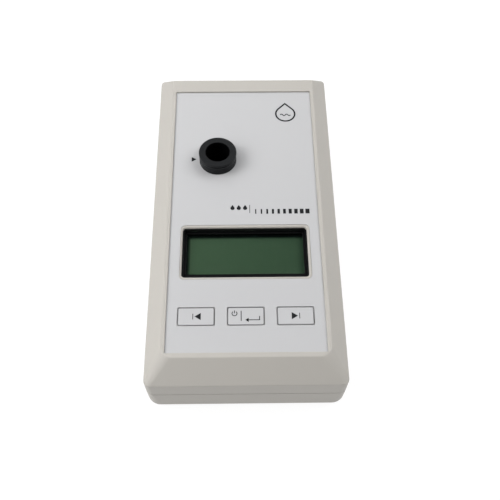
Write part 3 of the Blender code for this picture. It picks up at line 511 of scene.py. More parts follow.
def turned_acetal_finish():
    """Black acetal off a lathe: fine tool marks run round the well's axis."""
    grain, depth, specular = 0.25 * MM, 0.004 * MM, 0.14
    colour = COLLAR_COLOUR
    material, tree, inputs = grained("acetal_turned", colour, 0.42, grain, depth, 0.12, specular=specular)
    offset = {0: where(tree), 1: (WELL_X, WELL_Y, 0)}
    centred = add(tree, "VectorMath", offset, operation="SUBTRACT").outputs["Vector"]
    across = stretched(tree, centred, (1, 1, 0))
    radius = add(tree, "VectorMath", {0: across}, operation="LENGTH").outputs["Value"]
    height = only(tree, centred, "Z")
    marks = ridges(tree, maths(tree, "ADD", radius, height), 0.22 * MM)
    fine = inputs["Normal"].links[0].from_socket
    # Painted shade: the collar's grooves are coloured near black, as the shade in them; the well's bore is
    # made deeper black too. Both lose most of their gloss.
    bore = ramp(tree, radius, WELL_RADIUS + 0.05 * MM, WELL_RADIUS + 0.35 * MM)
    groove = ramp(tree, radius, COLLAR_RADIUS - 0.3 * MM, COLLAR_RADIUS - 0.05 * MM)
    face = maths(tree, "GREATER_THAN", height, COLLAR_HIGH.z - COLLAR_EDGE)
    outside_bore_and_groove_shade = maths(tree, "MULTIPLY", bore, maths(tree, "MAXIMUM", groove, face))
    # painted light: the collar's wall is coloured 1.5 times lighter than its top face
    body = mix(tree, face, shaded(colour, 1.5), inputs["Base Color"].links[0].from_socket)
    values = {"Base Color": mix(tree, outside_bore_and_groove_shade, BORE_BLACK_AND_GROOVE_SHADE, body), "Normal": bump(tree, marks, 0.002 * MM, fine)}
    feed(tree, inputs, {**values, "Specular IOR Level": ramp(tree, outside_bore_and_groove_shade, 0, 1, 0.02, specular)})
    return material


def ridges(tree, value, pitch):
    """A wave from -1 to 1 whose crests are one pitch apart."""
    return maths(tree, "SINE", maths(tree, "MULTIPLY", value, 2 * pi / pitch))


def stripe(tree, value, offset, pitch, share):
    """1 on each stripe and 0 between them."""
    moved = maths(tree, "DIVIDE", maths(tree, "SUBTRACT", value, offset), pitch)
    return maths(tree, "LESS_THAN", maths(tree, "FRACT", moved), share)


def cell_finish():
    """The switched-off display: green, with its dots only just showing. Shade is painted on it: darker
    towards its right end, and the frame's shadow along its left and rear edges.
    """
    colour = CELL_COLOUR
    material, tree, inputs = new_finish("display_cell", colour, 0.3, specular=0.4)
    point = where(tree)
    x, y = only(tree, point, "X"), only(tree, point, "Y")
    pitch_x, pitch_y, dot = mm(3.55, 5.35, 0.6)
    end_x, end_y = -8 * pitch_x, DISPLAY_Y - 2 * pitch_y
    shown = stripe(tree, x, end_x, pitch_x, 2.95 / 3.55)
    for other in (
        stripe(tree, y, end_y, pitch_y, 4.75 / 5.35),
        stripe(tree, x, end_x, dot, 0.9),
        stripe(tree, y, end_y, dot, 0.9),
        maths(tree, "LESS_THAN", maths(tree, "ABSOLUTE", x, 0), -end_x),
    ):
        shown = maths(tree, "MULTIPLY", shown, other)
    drift = mix(tree, noise(tree, point, 25 * MM, 1), shaded(colour, 0.94), shaded(colour, 1.06))
    # painted shade: the green darkens from left to right across the cell
    shaded_rightwards = mix(tree, ramp(tree, x, -30 * MM, 30 * MM), drift, CELL_SHADED_FAR_COLOUR)
    dotted = mix(tree, maths(tree, "MULTIPLY", shown, 0.5), shaded_rightwards, shaded(colour, 0.88))
    left, rear = -VIEW[0] / 2, VIEW_Y + VIEW[1] / 2  # the frame's shadow is painted along these two edges
    free_of_shadow_x = ramp(tree, x, left + 0.6 * MM, left + 2.2 * MM)
    free_of_shadow_y = ramp(tree, y, rear - 0.5 * MM, rear - 1.9 * MM)
    edge_shadowed = mix(tree, maths(tree, "MULTIPLY", free_of_shadow_x, free_of_shadow_y), CELL_EDGE_SHADOW_COLOUR, dotted)
    fine = bump(tree, noise(tree, point, 0.3 * MM), 0.002 * MM)
    feed(tree, inputs, {"Base Color": edge_shadowed, "Normal": fine})
    return material


def cover_finish():
    """The display's front glass: clear, with a soft gloss."""
    material, tree, _ = new_finish("display_cover", (0.9, 0.95, 0.92), 0.08)
    smear = ramp(tree, noise(tree, where(tree), 8 * MM, 4), 0.3, 0.7, 0.1, 0.13)
    gloss = add(tree, "BsdfGlossy", {"Color": (1, 1, 1, 1), "Roughness": smear})
    clear = add(tree, "BsdfTransparent", {"Color": (0.88, 0.95, 0.89, 1)})
    share = add(tree, "Fresnel", {"IOR": 1.45})
    parts = {key: node.outputs[0] for key, node in enumerate((share, clear, gloss))}
    both = add(tree, "MixShader", parts)
    feed(tree, tree.nodes["Material Output"].inputs, {"Surface": both.outputs[0]})
    return material


def board_finish():
    """Green solder mask over tracks, with tinned pads."""
    mask = (0.02, 0.12, 0.045)
    material, tree, inputs = grained("solder_mask", mask, 0.35, 0.4 * MM, 0.004 * MM, 0.1)
    point = where(tree)
    sizes = {"Mortar Size": 0.22 * MM, "Brick Width": 7 * MM, "Row Height": 1.27 * MM}
    tracks = add(tree, "TexBrick", {"Vector": point, "Scale": 1.0, **sizes}).outputs["Fac"]
    pads = add(tree, "TexVoronoi", {"Vector": point, "Scale": 1 / (5.08 * MM), "Randomness": 0.3})
    pad = maths(tree, "LESS_THAN", pads.outputs["Distance"], 0.16)
    green = mix(tree, tracks, mask, (0.035, 0.2, 0.07))
    tinned = mix(tree, pad, green, (0.5, 0.5, 0.48))
    raised = bump(tree, maths(tree, "ADD", tracks, pad), 0.02 * MM)
    feed(tree, inputs, {"Base Color": tinned, "Metallic": pad, "Normal": raised})
    return material


def metal_finish(name, colour, roughness, grain, stretch):
    """Plated or drawn metal, with fine lines along one direction."""
    material, tree, inputs = new_finish(name, colour, roughness, 1.0)
    point = where(tree)
    lines = noise(tree, stretched(tree, point, stretch), grain, 3)
    gloss = ramp(tree, lines, 0.3, 0.7, roughness - 0.08, roughness + 0.12)
    stain = mix(tree, noise(tree, point, 1.5 * MM, 4), shaded(colour, 0.9), colour)
    feed(tree, inputs, {"Base Color": stain, "Roughness": gloss, "Normal": bump(tree, lines, 0.004 * MM)})
    return material


def clear_finish(name, colour, roughness):
    """Tinted glass or resin with a faint haze."""
    material, tree, inputs = new_finish(name, colour, roughness)
    haze = noise(tree, where(tree), 0.8 * MM, 3)
    gloss = ramp(tree, haze, 0.3, 0.7, roughness, roughness + 0.1)
    tint = mix(tree, haze, shaded(colour, 0.9), colour)
    feed(tree, inputs, {"Base Color": tint, "Roughness": gloss, "Transmission Weight": 0.9})
    return material


def foam_finish():
    """Open-cell foam: small pores, with shade painted into them."""
    colour = (0.1, 0.1, 0.11)
    material, tree, inputs = new_finish("foam_grey", colour, 0.95, specular=0.2)
    cells = {"Vector": where(tree), "Scale": 1 / (0.7 * MM)}
    pores = add(tree, "TexVoronoi", cells).outputs["Distance"]
    # painted shade: each pore darkens towards its middle
    tint = mix(tree, pores, shaded(colour, 0.35), shaded(colour, 1.3))
    feed(tree, inputs, {"Base Color": tint, "Normal": bump(tree, pores, 0.2 * MM)})
    return material


def ribbon_finish():
    """Grey ribbon cable: a fine rib over each wire."""
    colour = (0.33, 0.34, 0.36)
    material, tree, inputs = new_finish("ribbon_grey", colour, 0.5)
    ribs = ridges(tree, only(tree, where(tree), "Z"), 0.64 * MM)
    # painted shade: the colour darkens in the troughs between the ribs
    tint = mix(tree, ramp(tree, ribs, -1, 1), shaded(colour, 0.7), colour)
    feed(tree, inputs, {"Base Color": tint, "Normal": bump(tree, ribs, 0.1 * MM)})
    return material


FINISHES = {
    "case_plastic": case_finish(),
    "panel_film": film_finish(),
    "black_acetal": grained("acetal_black", (0.022, 0.023, 0.024), 0.36, 0.2 * MM, 0.004 * MM, 0.15)[0],
    "bezel_metal": inky("frame_black", (0.003, 0.0033, 0.0036), 0.5 * MM, 0.1),
    "display_glass": cell_finish(),
    "backlight": grained("light_guide", (0.72, 0.74, 0.66), 0.4, 1 * MM, 0.01 * MM)[0],
    "circuit_board": board_finish(),
    "black_epoxy": grained("epoxy_black", (0.02, 0.02, 0.021), 0.55, 0.15 * MM, 0.01 * MM, 0.2)[0],
    "plated_steel": metal_finish("steel_plated", (0.62, 0.62, 0.6), 0.3, 0.15 * MM, (1, 1, 0.2)),
    "aluminium_can": metal_finish("can_drawn", (0.7, 0.7, 0.71), 0.32, 0.2 * MM, (1, 1, 0.1)),
    "filter_glass": clear_finish("glass_filter", (0.35, 0.2, 0.55), 0.04),
    "clear_resin": clear_finish("resin_clear", (0.75, 0.8, 0.85), 0.08),
    "foot_rubber": grained("rubber_black", (0.035, 0.035, 0.036), 0.8, 0.25 * MM, 0.02 * MM, 0.25)[0],
    "door_foam": foam_finish(),
    "battery_jacket": grained("jacket_blue", (0.05, 0.09, 0.22), 0.32, 0.3 * MM, 0.003 * MM, 0.05, 0.4)[0],
    "red_insulation": grained("pvc_red", (0.4, 0.02, 0.02), 0.45, 0.5 * MM, 0.01 * MM, 0.1)[0],
    "black_insulation": grained("pvc_black", (0.02, 0.02, 0.02), 0.45, 0.5 * MM, 0.01 * MM, 0.1)[0],
    "grey_ribbon": ribbon_finish(),
}
TURNED_ACETAL = turned_acetal_finish()
COVER_GLASS = cover_finish()
BLACK_INK = inky("ink_black", (0.012, 0.0125, 0.014))
GREY_INK = inky("ink_grey", (0.07, 0.073, 0.078))


# ---- upper case
def case_corner(z, inset=0.0):
    """Radii of the upright corners at a height, front and rear: the case is rounder towards its base."""
    for low, high in zip(CORNERS, CORNERS[1:]):
        if z <= high[0]:
            break
    share = min(max(z - low[0], 0) / (high[0] - low[0]), 1)
    return tuple(max(a + (b - a) * share - inset, 0.5 * MM) for a, b in zip(low[1:], high[1:]))


def case_ring(inset, corner, z):
    return oblong(HALF_WIDTH - inset, FRONT_Y + inset, REAR_Y - inset, corner, z)


def upright_ring(inset, corner, low, high):
    return solid("tool", skin([case_ring(inset, corner, z) for z in (low, high)]))


def shoulder_ring(inset, z):
    """The upper case's outline where its side shoulder has run in by inset."""
    share = inset / SIDE_SLOPE
    front_y, rear_y = FRONT_Y + share * FRONT_SLOPE, REAR_Y - share * REAR_SLOPE
    return oblong(HALF_WIDTH - inset, front_y, rear_y, case_corner(z), z)


def slope_inset(run, z):
    """How far in the inside of a shoulder stands at a height, its wall measured square to it."""
    length = hypot(run, SLOPE_RISE)
    return WALL * SLOPE_RISE / length + (z - RIDGE_Z + WALL * run / length) * run / SLOPE_RISE


def upper_cavity():
    """The inside of the upper case: upright to a knee, then in under the shoulders."""
    length = hypot(SIDE_SLOPE, SLOPE_RISE)
    rise = (WALL - WALL * SLOPE_RISE / length) * SLOPE_RISE / SIDE_SLOPE
    knee = RIDGE_Z + rise - WALL * SIDE_SLOPE / length
    side, front, rear = (slope_inset(run, CEILING_Z) for run in (SIDE_SLOPE, FRONT_SLOPE, REAR_SLOPE))
    ceiling = oblong(HALF_WIDTH - side, FRONT_Y + front, REAR_Y - rear, 1 * MM, CEILING_Z)
    rings = [case_ring(WALL, INNER_CORNER, z) for z in (PARTING_Z - PAST, knee)]
    return solid("tool", skin([*rings, ceiling]))


def key_box(name):
    """A key's centre along X and Y, and the size of its pad."""
    low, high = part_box(f"key_{name}")
    centre = (low + high) / 2
    return centre.x, centre.y, high.x - low.x, high.y - low.y


def make_upper_case():
    line = [
        (2 * MM, PARTING_Z, 0),
        (0, PARTING_Z, 0.2 * MM),
        (0, RIDGE_Z, 1.1 * MM),
        (SIDE_SLOPE, RIM_Z, 0.8 * MM),
        (SIDE_SLOPE + 1.5 * MM, RIM_Z, 0),
    ]
    case = solid("upper_case", skin([shoulder_ring(inset, z) for inset, z in rounded(line)]))
    recess = (PANEL_WIDTH + 2 * GAP, PANEL_LENGTH + 2 * GAP, 0.5 * MM)
    cut(
        case,
        upper_cavity(),
        upright_ring(TONGUE_INSET - GAP, INNER_CORNER, PARTING_Z - PAST, LOWER_HIGH.z + GAP),
        oblong_hole(recess, RIM_Z, RECESS_FLOOR_Z, 0.35 * MM, 0, PANEL_Y),
    )
    surround = (FILM_HOLE[0] - LIP_ROOM, FILM_HOLE[1] - LIP_ROOM, FILM_HOLE[2])
    join(case, slab("tool", surround, CEILING_Z + PAST, LIP_TOP_Z, 0.12 * MM, *FILM_HOLE_AT, both=False))
    cut(
        case,
        oblong_hole(WINDOW, LIP_TOP_Z, CEILING_Z - PAST, WINDOW_LIP, *WINDOW_AT),
        peg(SPIGOT_RADIUS + GAP, CEILING_Z - PAST, RIM_Z, WELL_X, WELL_Y, ROUND),
    )
    for name in KEYS:
        x, y, width, length = key_box(name)
        pocket = (width + 2 * GAP + 2 * KEY_ROOM, length + 2 * GAP + 2 * KEY_ROOM, KEY_CORNER)
        guide = (KEY_GUIDE[0] + 2 * KEY_ROOM, KEY_GUIDE[1] + 2 * KEY_ROOM, KEY_CORNER)
        floor_z = RECESS_FLOOR_Z - KEY_TRAVEL
        cut(case, oblong_hole(pocket, RECESS_FLOOR_Z, floor_z, 0, x, y))
        cut(case, oblong_hole(guide, floor_z, CEILING_Z - PAST, 0, x, y))
    add_hold_ribs(case)
    add_upper_bosses(case)
    place(settle(case), "case", "case_plastic", "upper_shell")


def add_hold_ribs(case):
    """Two ribs above the battery keep it down in its bay."""
    middle = (BATTERY_LOW.x + BATTERY_HIGH.x - BATTERY_STUD) / 2
    y = (BATTERY_LOW.y + BATTERY_HIGH.y) / 2
    for side in (-1, 1):
        x = middle + side * 12 * MM
        low = (x - 0.8 * MM, y - 11 * MM, BATTERY_HIGH.z + GAP)
        join(case, block(low, (x + 0.8 * MM, y + 11 * MM, CEILING_Z + PAST)))


def add_upper_bosses(case):
    """Bosses for the four case screws and the four screws of the display module."""
    seat_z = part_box("display_board")[1].z + GAP
    for places, screw, foot_z, radius, pilot in (
        (CASE_SCREWS, "case_screw_1", PARTING_Z, 3.8 * MM, 1.6 * MM),
        (DISPLAY_HOLES, "display_screw_1", seat_z, 2.6 * MM, 1.3 * MM),
    ):
        for x, y in places:
            join(case, peg(radius, foot_z, CEILING_Z + PAST, x, y))
            cut(case, peg(pilot, foot_z - PAST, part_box(screw)[1].z + PAST, x, y))


# ---- lower case
def make_lower_case():
    line = [
        (BASE_EDGE + 3 * MM, BASE_Z, 0),
        (0, BASE_Z, BASE_EDGE),
        (0, RIM_OF_LOWER_Z, 0.2 * MM),
        (2 * MM, RIM_OF_LOWER_Z, 0),
    ]
    rings = []
    for inset, z in rounded(line, steps=8):
        rings.append(case_ring(inset, case_corner(z, inset), z))
    case = solid("lower_case", skin(rings))
    join(case, upright_ring(TONGUE_INSET, INNER_CORNER, LOWER_TOP_Z - 3 * MM, LOWER_HIGH.z))
    cut(case, upright_ring(WALL, INNER_CORNER, FLOOR_Z, LOWER_HIGH.z + PAST))
    add_battery_bay(case)
    add_lower_posts(case)
    place(settle(case), "case", "case_plastic", "lower_shell")


def add_battery_bay(case):
    """Ribs round the battery, the door's opening and the blocks its pins turn in."""
    bay_y = (BATTERY_LOW.y + BATTERY_HIGH.y) / 2
    sunk_z = FLOOR_Z - PAST
    top_z = 15.5 * MM
    outer = mm(63.2, 33.2, 1)
    inner = mm(60, 30, 1)
    ribs = slab("tool", outer, sunk_z, top_z, 0.3 * MM, y=bay_y)
    cut(ribs, oblong_hole(inner, top_z, sunk_z - PAST, 0.3 * MM, 0, bay_y))
    join(case, ribs)
    opening = DOOR_HALF + DOOR_ROOM
    for side in (-1, 1):
        near, far = sorted((side * opening, side * outer[0] / 2))
        low = (near, DOOR_AXIS.y - 3 * MM, sunk_z)
        join(case, block(low, (far, DOOR_AXIS.y + 3 * MM, FLOOR_Z + 2 * MM)))
    size = (2 * opening, DOOR_HIGH.y - DOOR_LOW.y + 2 * DOOR_ROOM, 0.4 * MM)
    middle = (DOOR_HIGH.y + DOOR_LOW.y) / 2
    cut(case, oblong_hole(size, BASE_Z, FLOOR_Z + 2 * GAP, 0.25 * MM, 0, middle))
    cut(case, door_pins(PIN_RADIUS + GAP, DOOR_HIGH.x + GAP))


def door_pins(radius, reach):
    """A bar along the door's axis, to both sides."""
    return spun("tool", [(radius, -reach, 0), (radius, reach, 0)], DOOR_AXIS, axis="X")


def add_lower_posts(case):
    """Screw bosses, the posts of the board and of the optical block, and the seats of the feet."""
    shoulder_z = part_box("case_screw_1")[0].z + 2.5 * MM
    for x, y in CASE_SCREWS:
        join(case, peg(4.6 * MM, FLOOR_Z - PAST, PARTING_Z - GAP, x, y))
        cut(case, round_hole(3.2 * MM, BASE_Z, shoulder_z, 0.3 * MM, x, y))
        cut(case, peg(1.7 * MM, shoulder_z - PAST, PARTING_Z, x, y))
    board_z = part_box("main_board")[0].z
    for places, seat_z, radius, pilot in (
        (BOARD_SCREWS, board_z, 3 * MM, 1.5 * MM),
        (LUG_SCREWS, LUG_Z, 2.7 * MM, 1.4 * MM),
    ):
        for x, y in places:
            join(case, peg(radius, FLOOR_Z - PAST, seat_z - GAP, x, y))
            cut(case, peg(pilot, FLOOR_Z, seat_z - GAP + PAST, x, y))
    foot_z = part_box("foot_1")[1].z
    for x, y in FEET:
        cut(case, round_hole(FOOT_RADIUS + GAP, BASE_Z, foot_z + GAP, 0.2 * MM, x, y, ROUND))


# ---- front film and keys
def make_film():
    size = (PANEL_WIDTH + 2 * FIT, PANEL_LENGTH + 2 * FIT, 0.5 * MM)
    film = slab("front_film", size, FILM_LOW.z, FILM_TOP_Z, 0.05 * MM, y=PANEL_Y, both=False)
    low = FILM_LOW.z - PAST
    cut(film, oblong_hole(FILM_HOLE, FILM_TOP_Z, low, 0.05 * MM, *FILM_HOLE_AT))
    cut(film, round_hole(COLLAR_RADIUS + 0.04 * MM, FILM_TOP_Z, low, 0.03 * MM, WELL_X, WELL_Y, ROUND))
    for name in KEYS:
        x, y, width, length = key_box(name)
        hole = (width + 2 * GAP, length + 2 * GAP, KEY_CORNER)
        cut(film, oblong_hole(hole, FILM_TOP_Z, low, 0.08 * MM, x, y))
    place(settle(film), "case", "panel_film", "panel_film")


def make_key(name):
    """A key's pad, with the guide and the stem below it."""
    x, y, width, length = key_box(name)
    low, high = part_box(f"key_{name}")
    size = (width, length, KEY_CORNER)
    pad = slab(f"key_cap_{name}", size, FILM_LOW.z, high.z, 0.1 * MM, x, y, both=False)
    guide_z = 30.8 * MM
    join(pad, slab("tool", KEY_GUIDE, guide_z, FILM_TOP_Z - GAP, 0.2 * MM, x, y))
    join(pad, spun("tool", [(2.2 * MM, low.z, 0), (2.2 * MM, guide_z + PAST, 0)], (x, y, 0)))
    place(settle(pad), f"key_{name}", "panel_film", f"key_{name}")


# ---- printed marks
def print_piece(name, outlines, body="case", finish=BLACK_INK):
    """Flat closed plates of ink. An outline is one line of points, or (outer, inner) for a band."""
    shape = bmesh.new()
    for outline in outlines:
        if isinstance(outline[0][0], (int, float)):
            add_plate(shape, outline)
        else:
            add_band(shape, *outline)
    place(solid(name, shape), body, "black_epoxy", finish=finish)


def add_plate(shape, outline):
    loops = [[shape.verts.new((x, y, z)) for x, y in outline] for z in INK_Z]
    shape.faces.new(loops[0][::-1])
    shape.faces.new(loops[1])
    join_loops(shape, *loops)


def add_band(shape, outer, inner):
    """A band between two outlines with the same number of points."""
    low, high = INK_Z
    levels = (outer, low), (outer, high), (inner, high), (inner, low)
    loops = [[shape.verts.new((x, y, z)) for x, y in outline] for outline, z in levels]
    for first, second in zip(loops, loops[1:] + loops[:1]):
        join_loops(shape, first, second)


def join_loops(shape, first, second):
    for i in range(len(first)):
        j = (i + 1) % len(first)
        shape.faces.new((first[i], first[j], second[j], second[i]))


def moved(outline, x, y):
    return [(px + x, py + y) for px, py in outline]


def rectangle(low_x, high_x, low_y, high_y):
    return [(low_x, low_y), (high_x, low_y), (high_x, high_y), (low_x, high_y)]


def drop(height, width, steps=40):
    """A water drop about the middle of its round part, with its tip up."""
    radius = width / 2
    tip = height - radius
    lean = acos(radius / tip)
    turns = [pi / 2 - lean - (2 * pi - 2 * lean) * i / steps for i in range(steps + 1)]
    return [(0, tip)] + [(radius * cos(t), radius * sin(t)) for t in turns]


def stroke(points, width):
    """The outline of a line drawn through points with a pen of that width."""
    left, right = [], []
    for i, (x, y) in enumerate(points):
        before = Vector(points[max(i - 1, 0)])
        after = Vector(points[min(i + 1, len(points) - 1)])
        along = (after - before).normalized()
        side = Vector((-along.y, along.x)) * width / 2
        left.append((x + side.x, y + side.y))
        right.append((x - side.x, y - side.y))
    return left + right[::-1]


def triangle(tip_x, y, length, half):
    """A triangle that points along X, or against X where its length is negative."""
    back_x = tip_x - length
    return [(tip_x, y), (back_x, y + half), (back_x, y - half)]


def make_prints():
    """The panel's marks: a pointer to the well, a water drop, and three drops over a rising scale."""
    pointer = triangle(COLLAR_LOW.x - 2.2 * MM, WELL_Y + 0.55 * MM, 2.65 * MM, 1.65 * MM)
    print_piece("print_pointer", [pointer])

    width, line = 12 * MM, 0.95 * MM
    outer = drop(14.6 * MM, width)
    share = 1 - 2 * line / width
    inner = [(x * share, y * share) for x, y in outer]
    centre = mm(24.5, 66)
    wave = []
    for step in range(25):
        along = step / 24 * 2 - 1
        wave.append((along * 3 * MM, sin(along * 2 * pi) * 0.6 * MM - 0.8 * MM))
    mark = [(moved(outer, *centre), moved(inner, *centre)), moved(stroke(wave, 0.6 * MM), *centre)]
    print_piece("print_water_drop", mark)

    small = drop(3.3 * MM, 2.3 * MM, 20)
    drops = [moved(small, (-6.5 + i * 3.4) * MM, -1.2 * MM) for i in range(3)]
    print_piece("print_three_drops", drops)
    divider = rectangle(*mm(2.62, 2.98, -4.4, 0.9))
    print_piece("print_divider", [divider], finish=GREY_INK)
    print_piece("print_scale", scale_bars())


def scale_bars():
    """Ten bars of one height, each a little wider than the one before it."""
    bars = []
    low_y, high_y = mm(-4.95, -1.85)
    for i in range(10):
        middle = (6.0 + 3.1 * i) * MM
        half = (0.3 + 0.09 * i) * MM
        bars.append(rectangle(middle - half, middle + half, low_y, high_y))
    return bars


def make_key_prints():
    """An arrow and a bar on the outer keys, a power mark and a return arrow on the middle one."""
    for name, way, x in (("back", -1, -23.85 * MM), ("next", 1, 24.3 * MM)):
        y = key_box(name)[1]
        arrow = triangle(x + way * 1.6 * MM, y, way * 3.1 * MM, 2 * MM)
        bar_x = x + way * 2.45 * MM
        bar = rectangle(bar_x - 0.17 * MM, bar_x + 0.17 * MM, y - 1.6 * MM, y + 1.6 * MM)
        print_piece(f"print_{name}_arrow", [arrow], f"key_{name}")
        print_piece(f"print_{name}_bar", [bar], f"key_{name}")
    for name in KEYS:
        print_key_outline(name)
    bar = rectangle(*mm(-2.52, -2.12, -69.1, -63.5))
    print_piece("print_enter_bar", [bar], "key_enter")
    half_gap, radius = 38, 1.25 * MM
    turns = [radians(90 + half_gap + (360 - 2 * half_gap) * step / 28) for step in range(29)]
    ring = [(radius * cos(turn), radius * sin(turn)) for turn in turns]
    power = [stroke(ring, 0.42 * MM), rectangle(*mm(-0.2, 0.2, 0.1, 1.65))]
    power = [moved(part, -5.6 * MM, -65 * MM) for part in power]
    print_piece("print_enter_power", power, "key_enter")
    low_y, x_near, x_far = mm(-68.6, 1.4, 6.6)
    half = 0.21 * MM
    hook = [
        rectangle(x_near, x_far, low_y - half, low_y + half),
        rectangle(x_far, x_far + 2 * half, low_y - half, low_y + 2.1 * MM),
        [(x_near, low_y + 1.15 * MM), (x_near - 1.7 * MM, low_y), (x_near, low_y - 1.15 * MM)],
    ]
    print_piece("print_enter_hook", hook, "key_enter")


def print_key_outline(name):
    """The thin line printed round the edge of a key."""
    x, y, width, length = key_box(name)
    lines = []
    for inset in (0.1 * MM, 0.1 * MM + KEY_LINE):
        ring = oblong(width / 2 - inset, inset - length / 2, length / 2 - inset, KEY_CORNER - inset, 0)
        lines.append([(point.x + x, point.y + y) for point in ring])
    print_piece(f"print_{name}_outline", [tuple(lines)], f"key_{name}", GREY_INK)


# ---- collar and display
def collar_grooves():
    """Height and half width of the collar's grooves, from the film up to the flange."""
    fine = [(FILM_TOP_Z + (1.6 + 1.1 * i) * MM, 0.2 * MM) for i in range(3)]
    return [(FILM_TOP_Z + 0.4 * MM, 0.35 * MM), *fine, (COLLAR_HIGH.z - 1.5 * MM, 0.4 * MM)]


def make_collar():
    """The light-tight collar: a turned ring with grooves, a flange, and a spigot into the block."""
    seat_z = FILM_LOW.z
    top = COLLAR_HIGH.z
    line = [
        (WELL_RADIUS, COLLAR_LOW.z, 0.2 * MM),
        (SPIGOT_RADIUS, COLLAR_LOW.z, 0.3 * MM),
        (SPIGOT_RADIUS, seat_z, 0.1 * MM),
        (COLLAR_RADIUS, seat_z, 0.1 * MM),
    ]
    for z, half in collar_grooves():
        line += [
            (COLLAR_RADIUS, z - half, 0.06 * MM),
            (GROOVE_RADIUS, z - 0.6 * half, 0.08 * MM),
            (GROOVE_RADIUS, z + 0.6 * half, 0.08 * MM),
            (COLLAR_RADIUS, z + half, 0.06 * MM),
        ]
    line += [
        (FLANGE_RADIUS, top - 1.0 * MM, 0.05 * MM),
        (FLANGE_RADIUS, top, COLLAR_EDGE),
        (WELL_RADIUS, top, 0.3 * MM),
    ]
    collar = turned("collar_ring", line, (WELL_X, WELL_Y, 0))
    place(settle(collar), "case", "black_acetal", "cuvette_collar", finish=TURNED_ACETAL)


def make_display():
    make_display_frame()
    make_gasket()
    low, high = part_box("display_glass")
    size = (high.x - low.x, high.y - low.y, 0.5 * MM)
    cover = slab("lcd_cover", size, high.z - 0.5 * MM, high.z, 0.1 * MM, y=DISPLAY_Y)
    place(settle(cover), "case", "display_glass", "display_glass", finish=COVER_GLASS)
    cell = slab("lcd_cell", size, low.z, high.z - CELL_DEPTH, 0.1 * MM, y=DISPLAY_Y)
    place(settle(cell), "case", "display_glass", "display_glass")


def make_display_frame():
    """The black frame, a bent sheet that slopes in to the display's opening."""
    low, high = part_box("display_bezel")
    half_x, half_y = high.x, (high.y - low.y) / 2
    sheet = 0.7 * MM
    view_x, view_y = VIEW[0] / 2, VIEW[1] / 2
    span = half_x - view_x
    line = [
        (0, low.z, 0),
        (0, high.z, 0.5 * MM),
        (span, high.z, 0.3 * MM),
        (span, high.z - sheet, 0.15 * MM),
        (sheet, high.z - sheet, 0),
        (sheet, low.z, 0),
    ]
    shift = VIEW_Y - DISPLAY_Y
    rings = []
    for inset, z in rounded(line, closed=True):
        share = max(inset - sheet, 0) / (span - sheet)
        inset_y = inset + share * (half_y - view_y - span)
        low_y, high_y = inset_y - half_y + share * shift, half_y - inset_y + share * shift
        rings.append(oblong(half_x - inset, low_y, high_y, 0.6 * MM, z))
    surround = solid("lcd_frame", skin(rings, closed=True), (0, DISPLAY_Y, 0))
    place(settle(surround), "case", "bezel_metal", "display_bezel")


def make_gasket():
    """A black gasket that fills the window's walls between the frame and the lip."""
    low_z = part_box("display_bezel")[1].z
    top_z = LIP_TOP_Z - WINDOW_LIP - 0.1 * MM
    room, wall = 0.1 * MM, 0.7 * MM  # to the window's walls, both sides together
    width, length, corner = WINDOW
    outside = (width - room, length - room, corner)
    inside = (width - room - 2 * wall, length - room - 2 * wall, corner - wall)
    gasket = slab("lcd_gasket", outside, low_z, top_z, 0.15 * MM, *WINDOW_AT)
    cut(gasket, oblong_hole(inside, top_z, low_z - PAST, 0.25 * MM, *WINDOW_AT))
    place(settle(gasket), "case", "bezel_metal")


# ---- battery, door, screws and feet
def make_door():
    """The door: its front edge is round about its pins, and its rear edge has the latch."""
    half_thick = DOOR_THICK / 2
    reach = DOOR_HIGH.y - DOOR_AXIS.y
    edge = 0.3 * MM
    rings = []
    ends = [(-DOOR_HALF, edge), (-DOOR_HALF + 0.09 * MM, 0.09 * MM), (-DOOR_HALF + edge, 0)]
    ends += [(-x, inset) for x, inset in reversed(ends)]
    for x, inset in ends:
        thick = half_thick - inset
        line = [
            (0, thick, 0),
            (0.1 * MM, -thick, 0),
            (reach - inset, -thick, edge),
            (reach - inset, thick, edge),
            (0.1 * MM, thick, 0),
        ]
        turns = (radians(90 + 180 * step / 16) for step in range(17))
        nose = [Vector((thick * cos(t), thick * sin(t))) for t in turns]
        rings.append([Vector((x, point.x, point.y)) for point in nose + rounded(line)[1:]])
    door = solid("door_panel", skin(rings), DOOR_AXIS)
    top_z = BASE_Z + DOOR_THICK
    latch = mm(12, 0.8, 0.2)
    join(door, slab("tool", latch, top_z - 1.1 * MM, DOOR_HIGH.z, 0.2 * MM, 0, DOOR_HIGH.y - 1.2 * MM))
    ends = [(0.2 * MM, DOOR_HIGH.x, 0), (PIN_RADIUS, DOOR_HIGH.x, 0.15 * MM)]
    pins = [(radius, -x, edge) for radius, x, edge in ends] + ends[::-1]
    join(door, spun("tool", pins, DOOR_AXIS, axis="X"))
    notch = mm(16, 3.5, 1.7)
    cut(door, oblong_hole(notch, BASE_Z, BASE_Z + 0.8 * MM, 0.2 * MM, 0, DOOR_HIGH.y - 6.25 * MM))
    for i in range(4):
        y = DOOR_HIGH.y - (11 + 1.6 * i) * MM
        groove = mm(14, 0.7, 0.34)
        cut(door, oblong_hole(groove, BASE_Z, BASE_Z + 0.3 * MM, 0.1 * MM, 0, y))
    place(settle(door), "battery_door", "case_plastic", "battery_door")


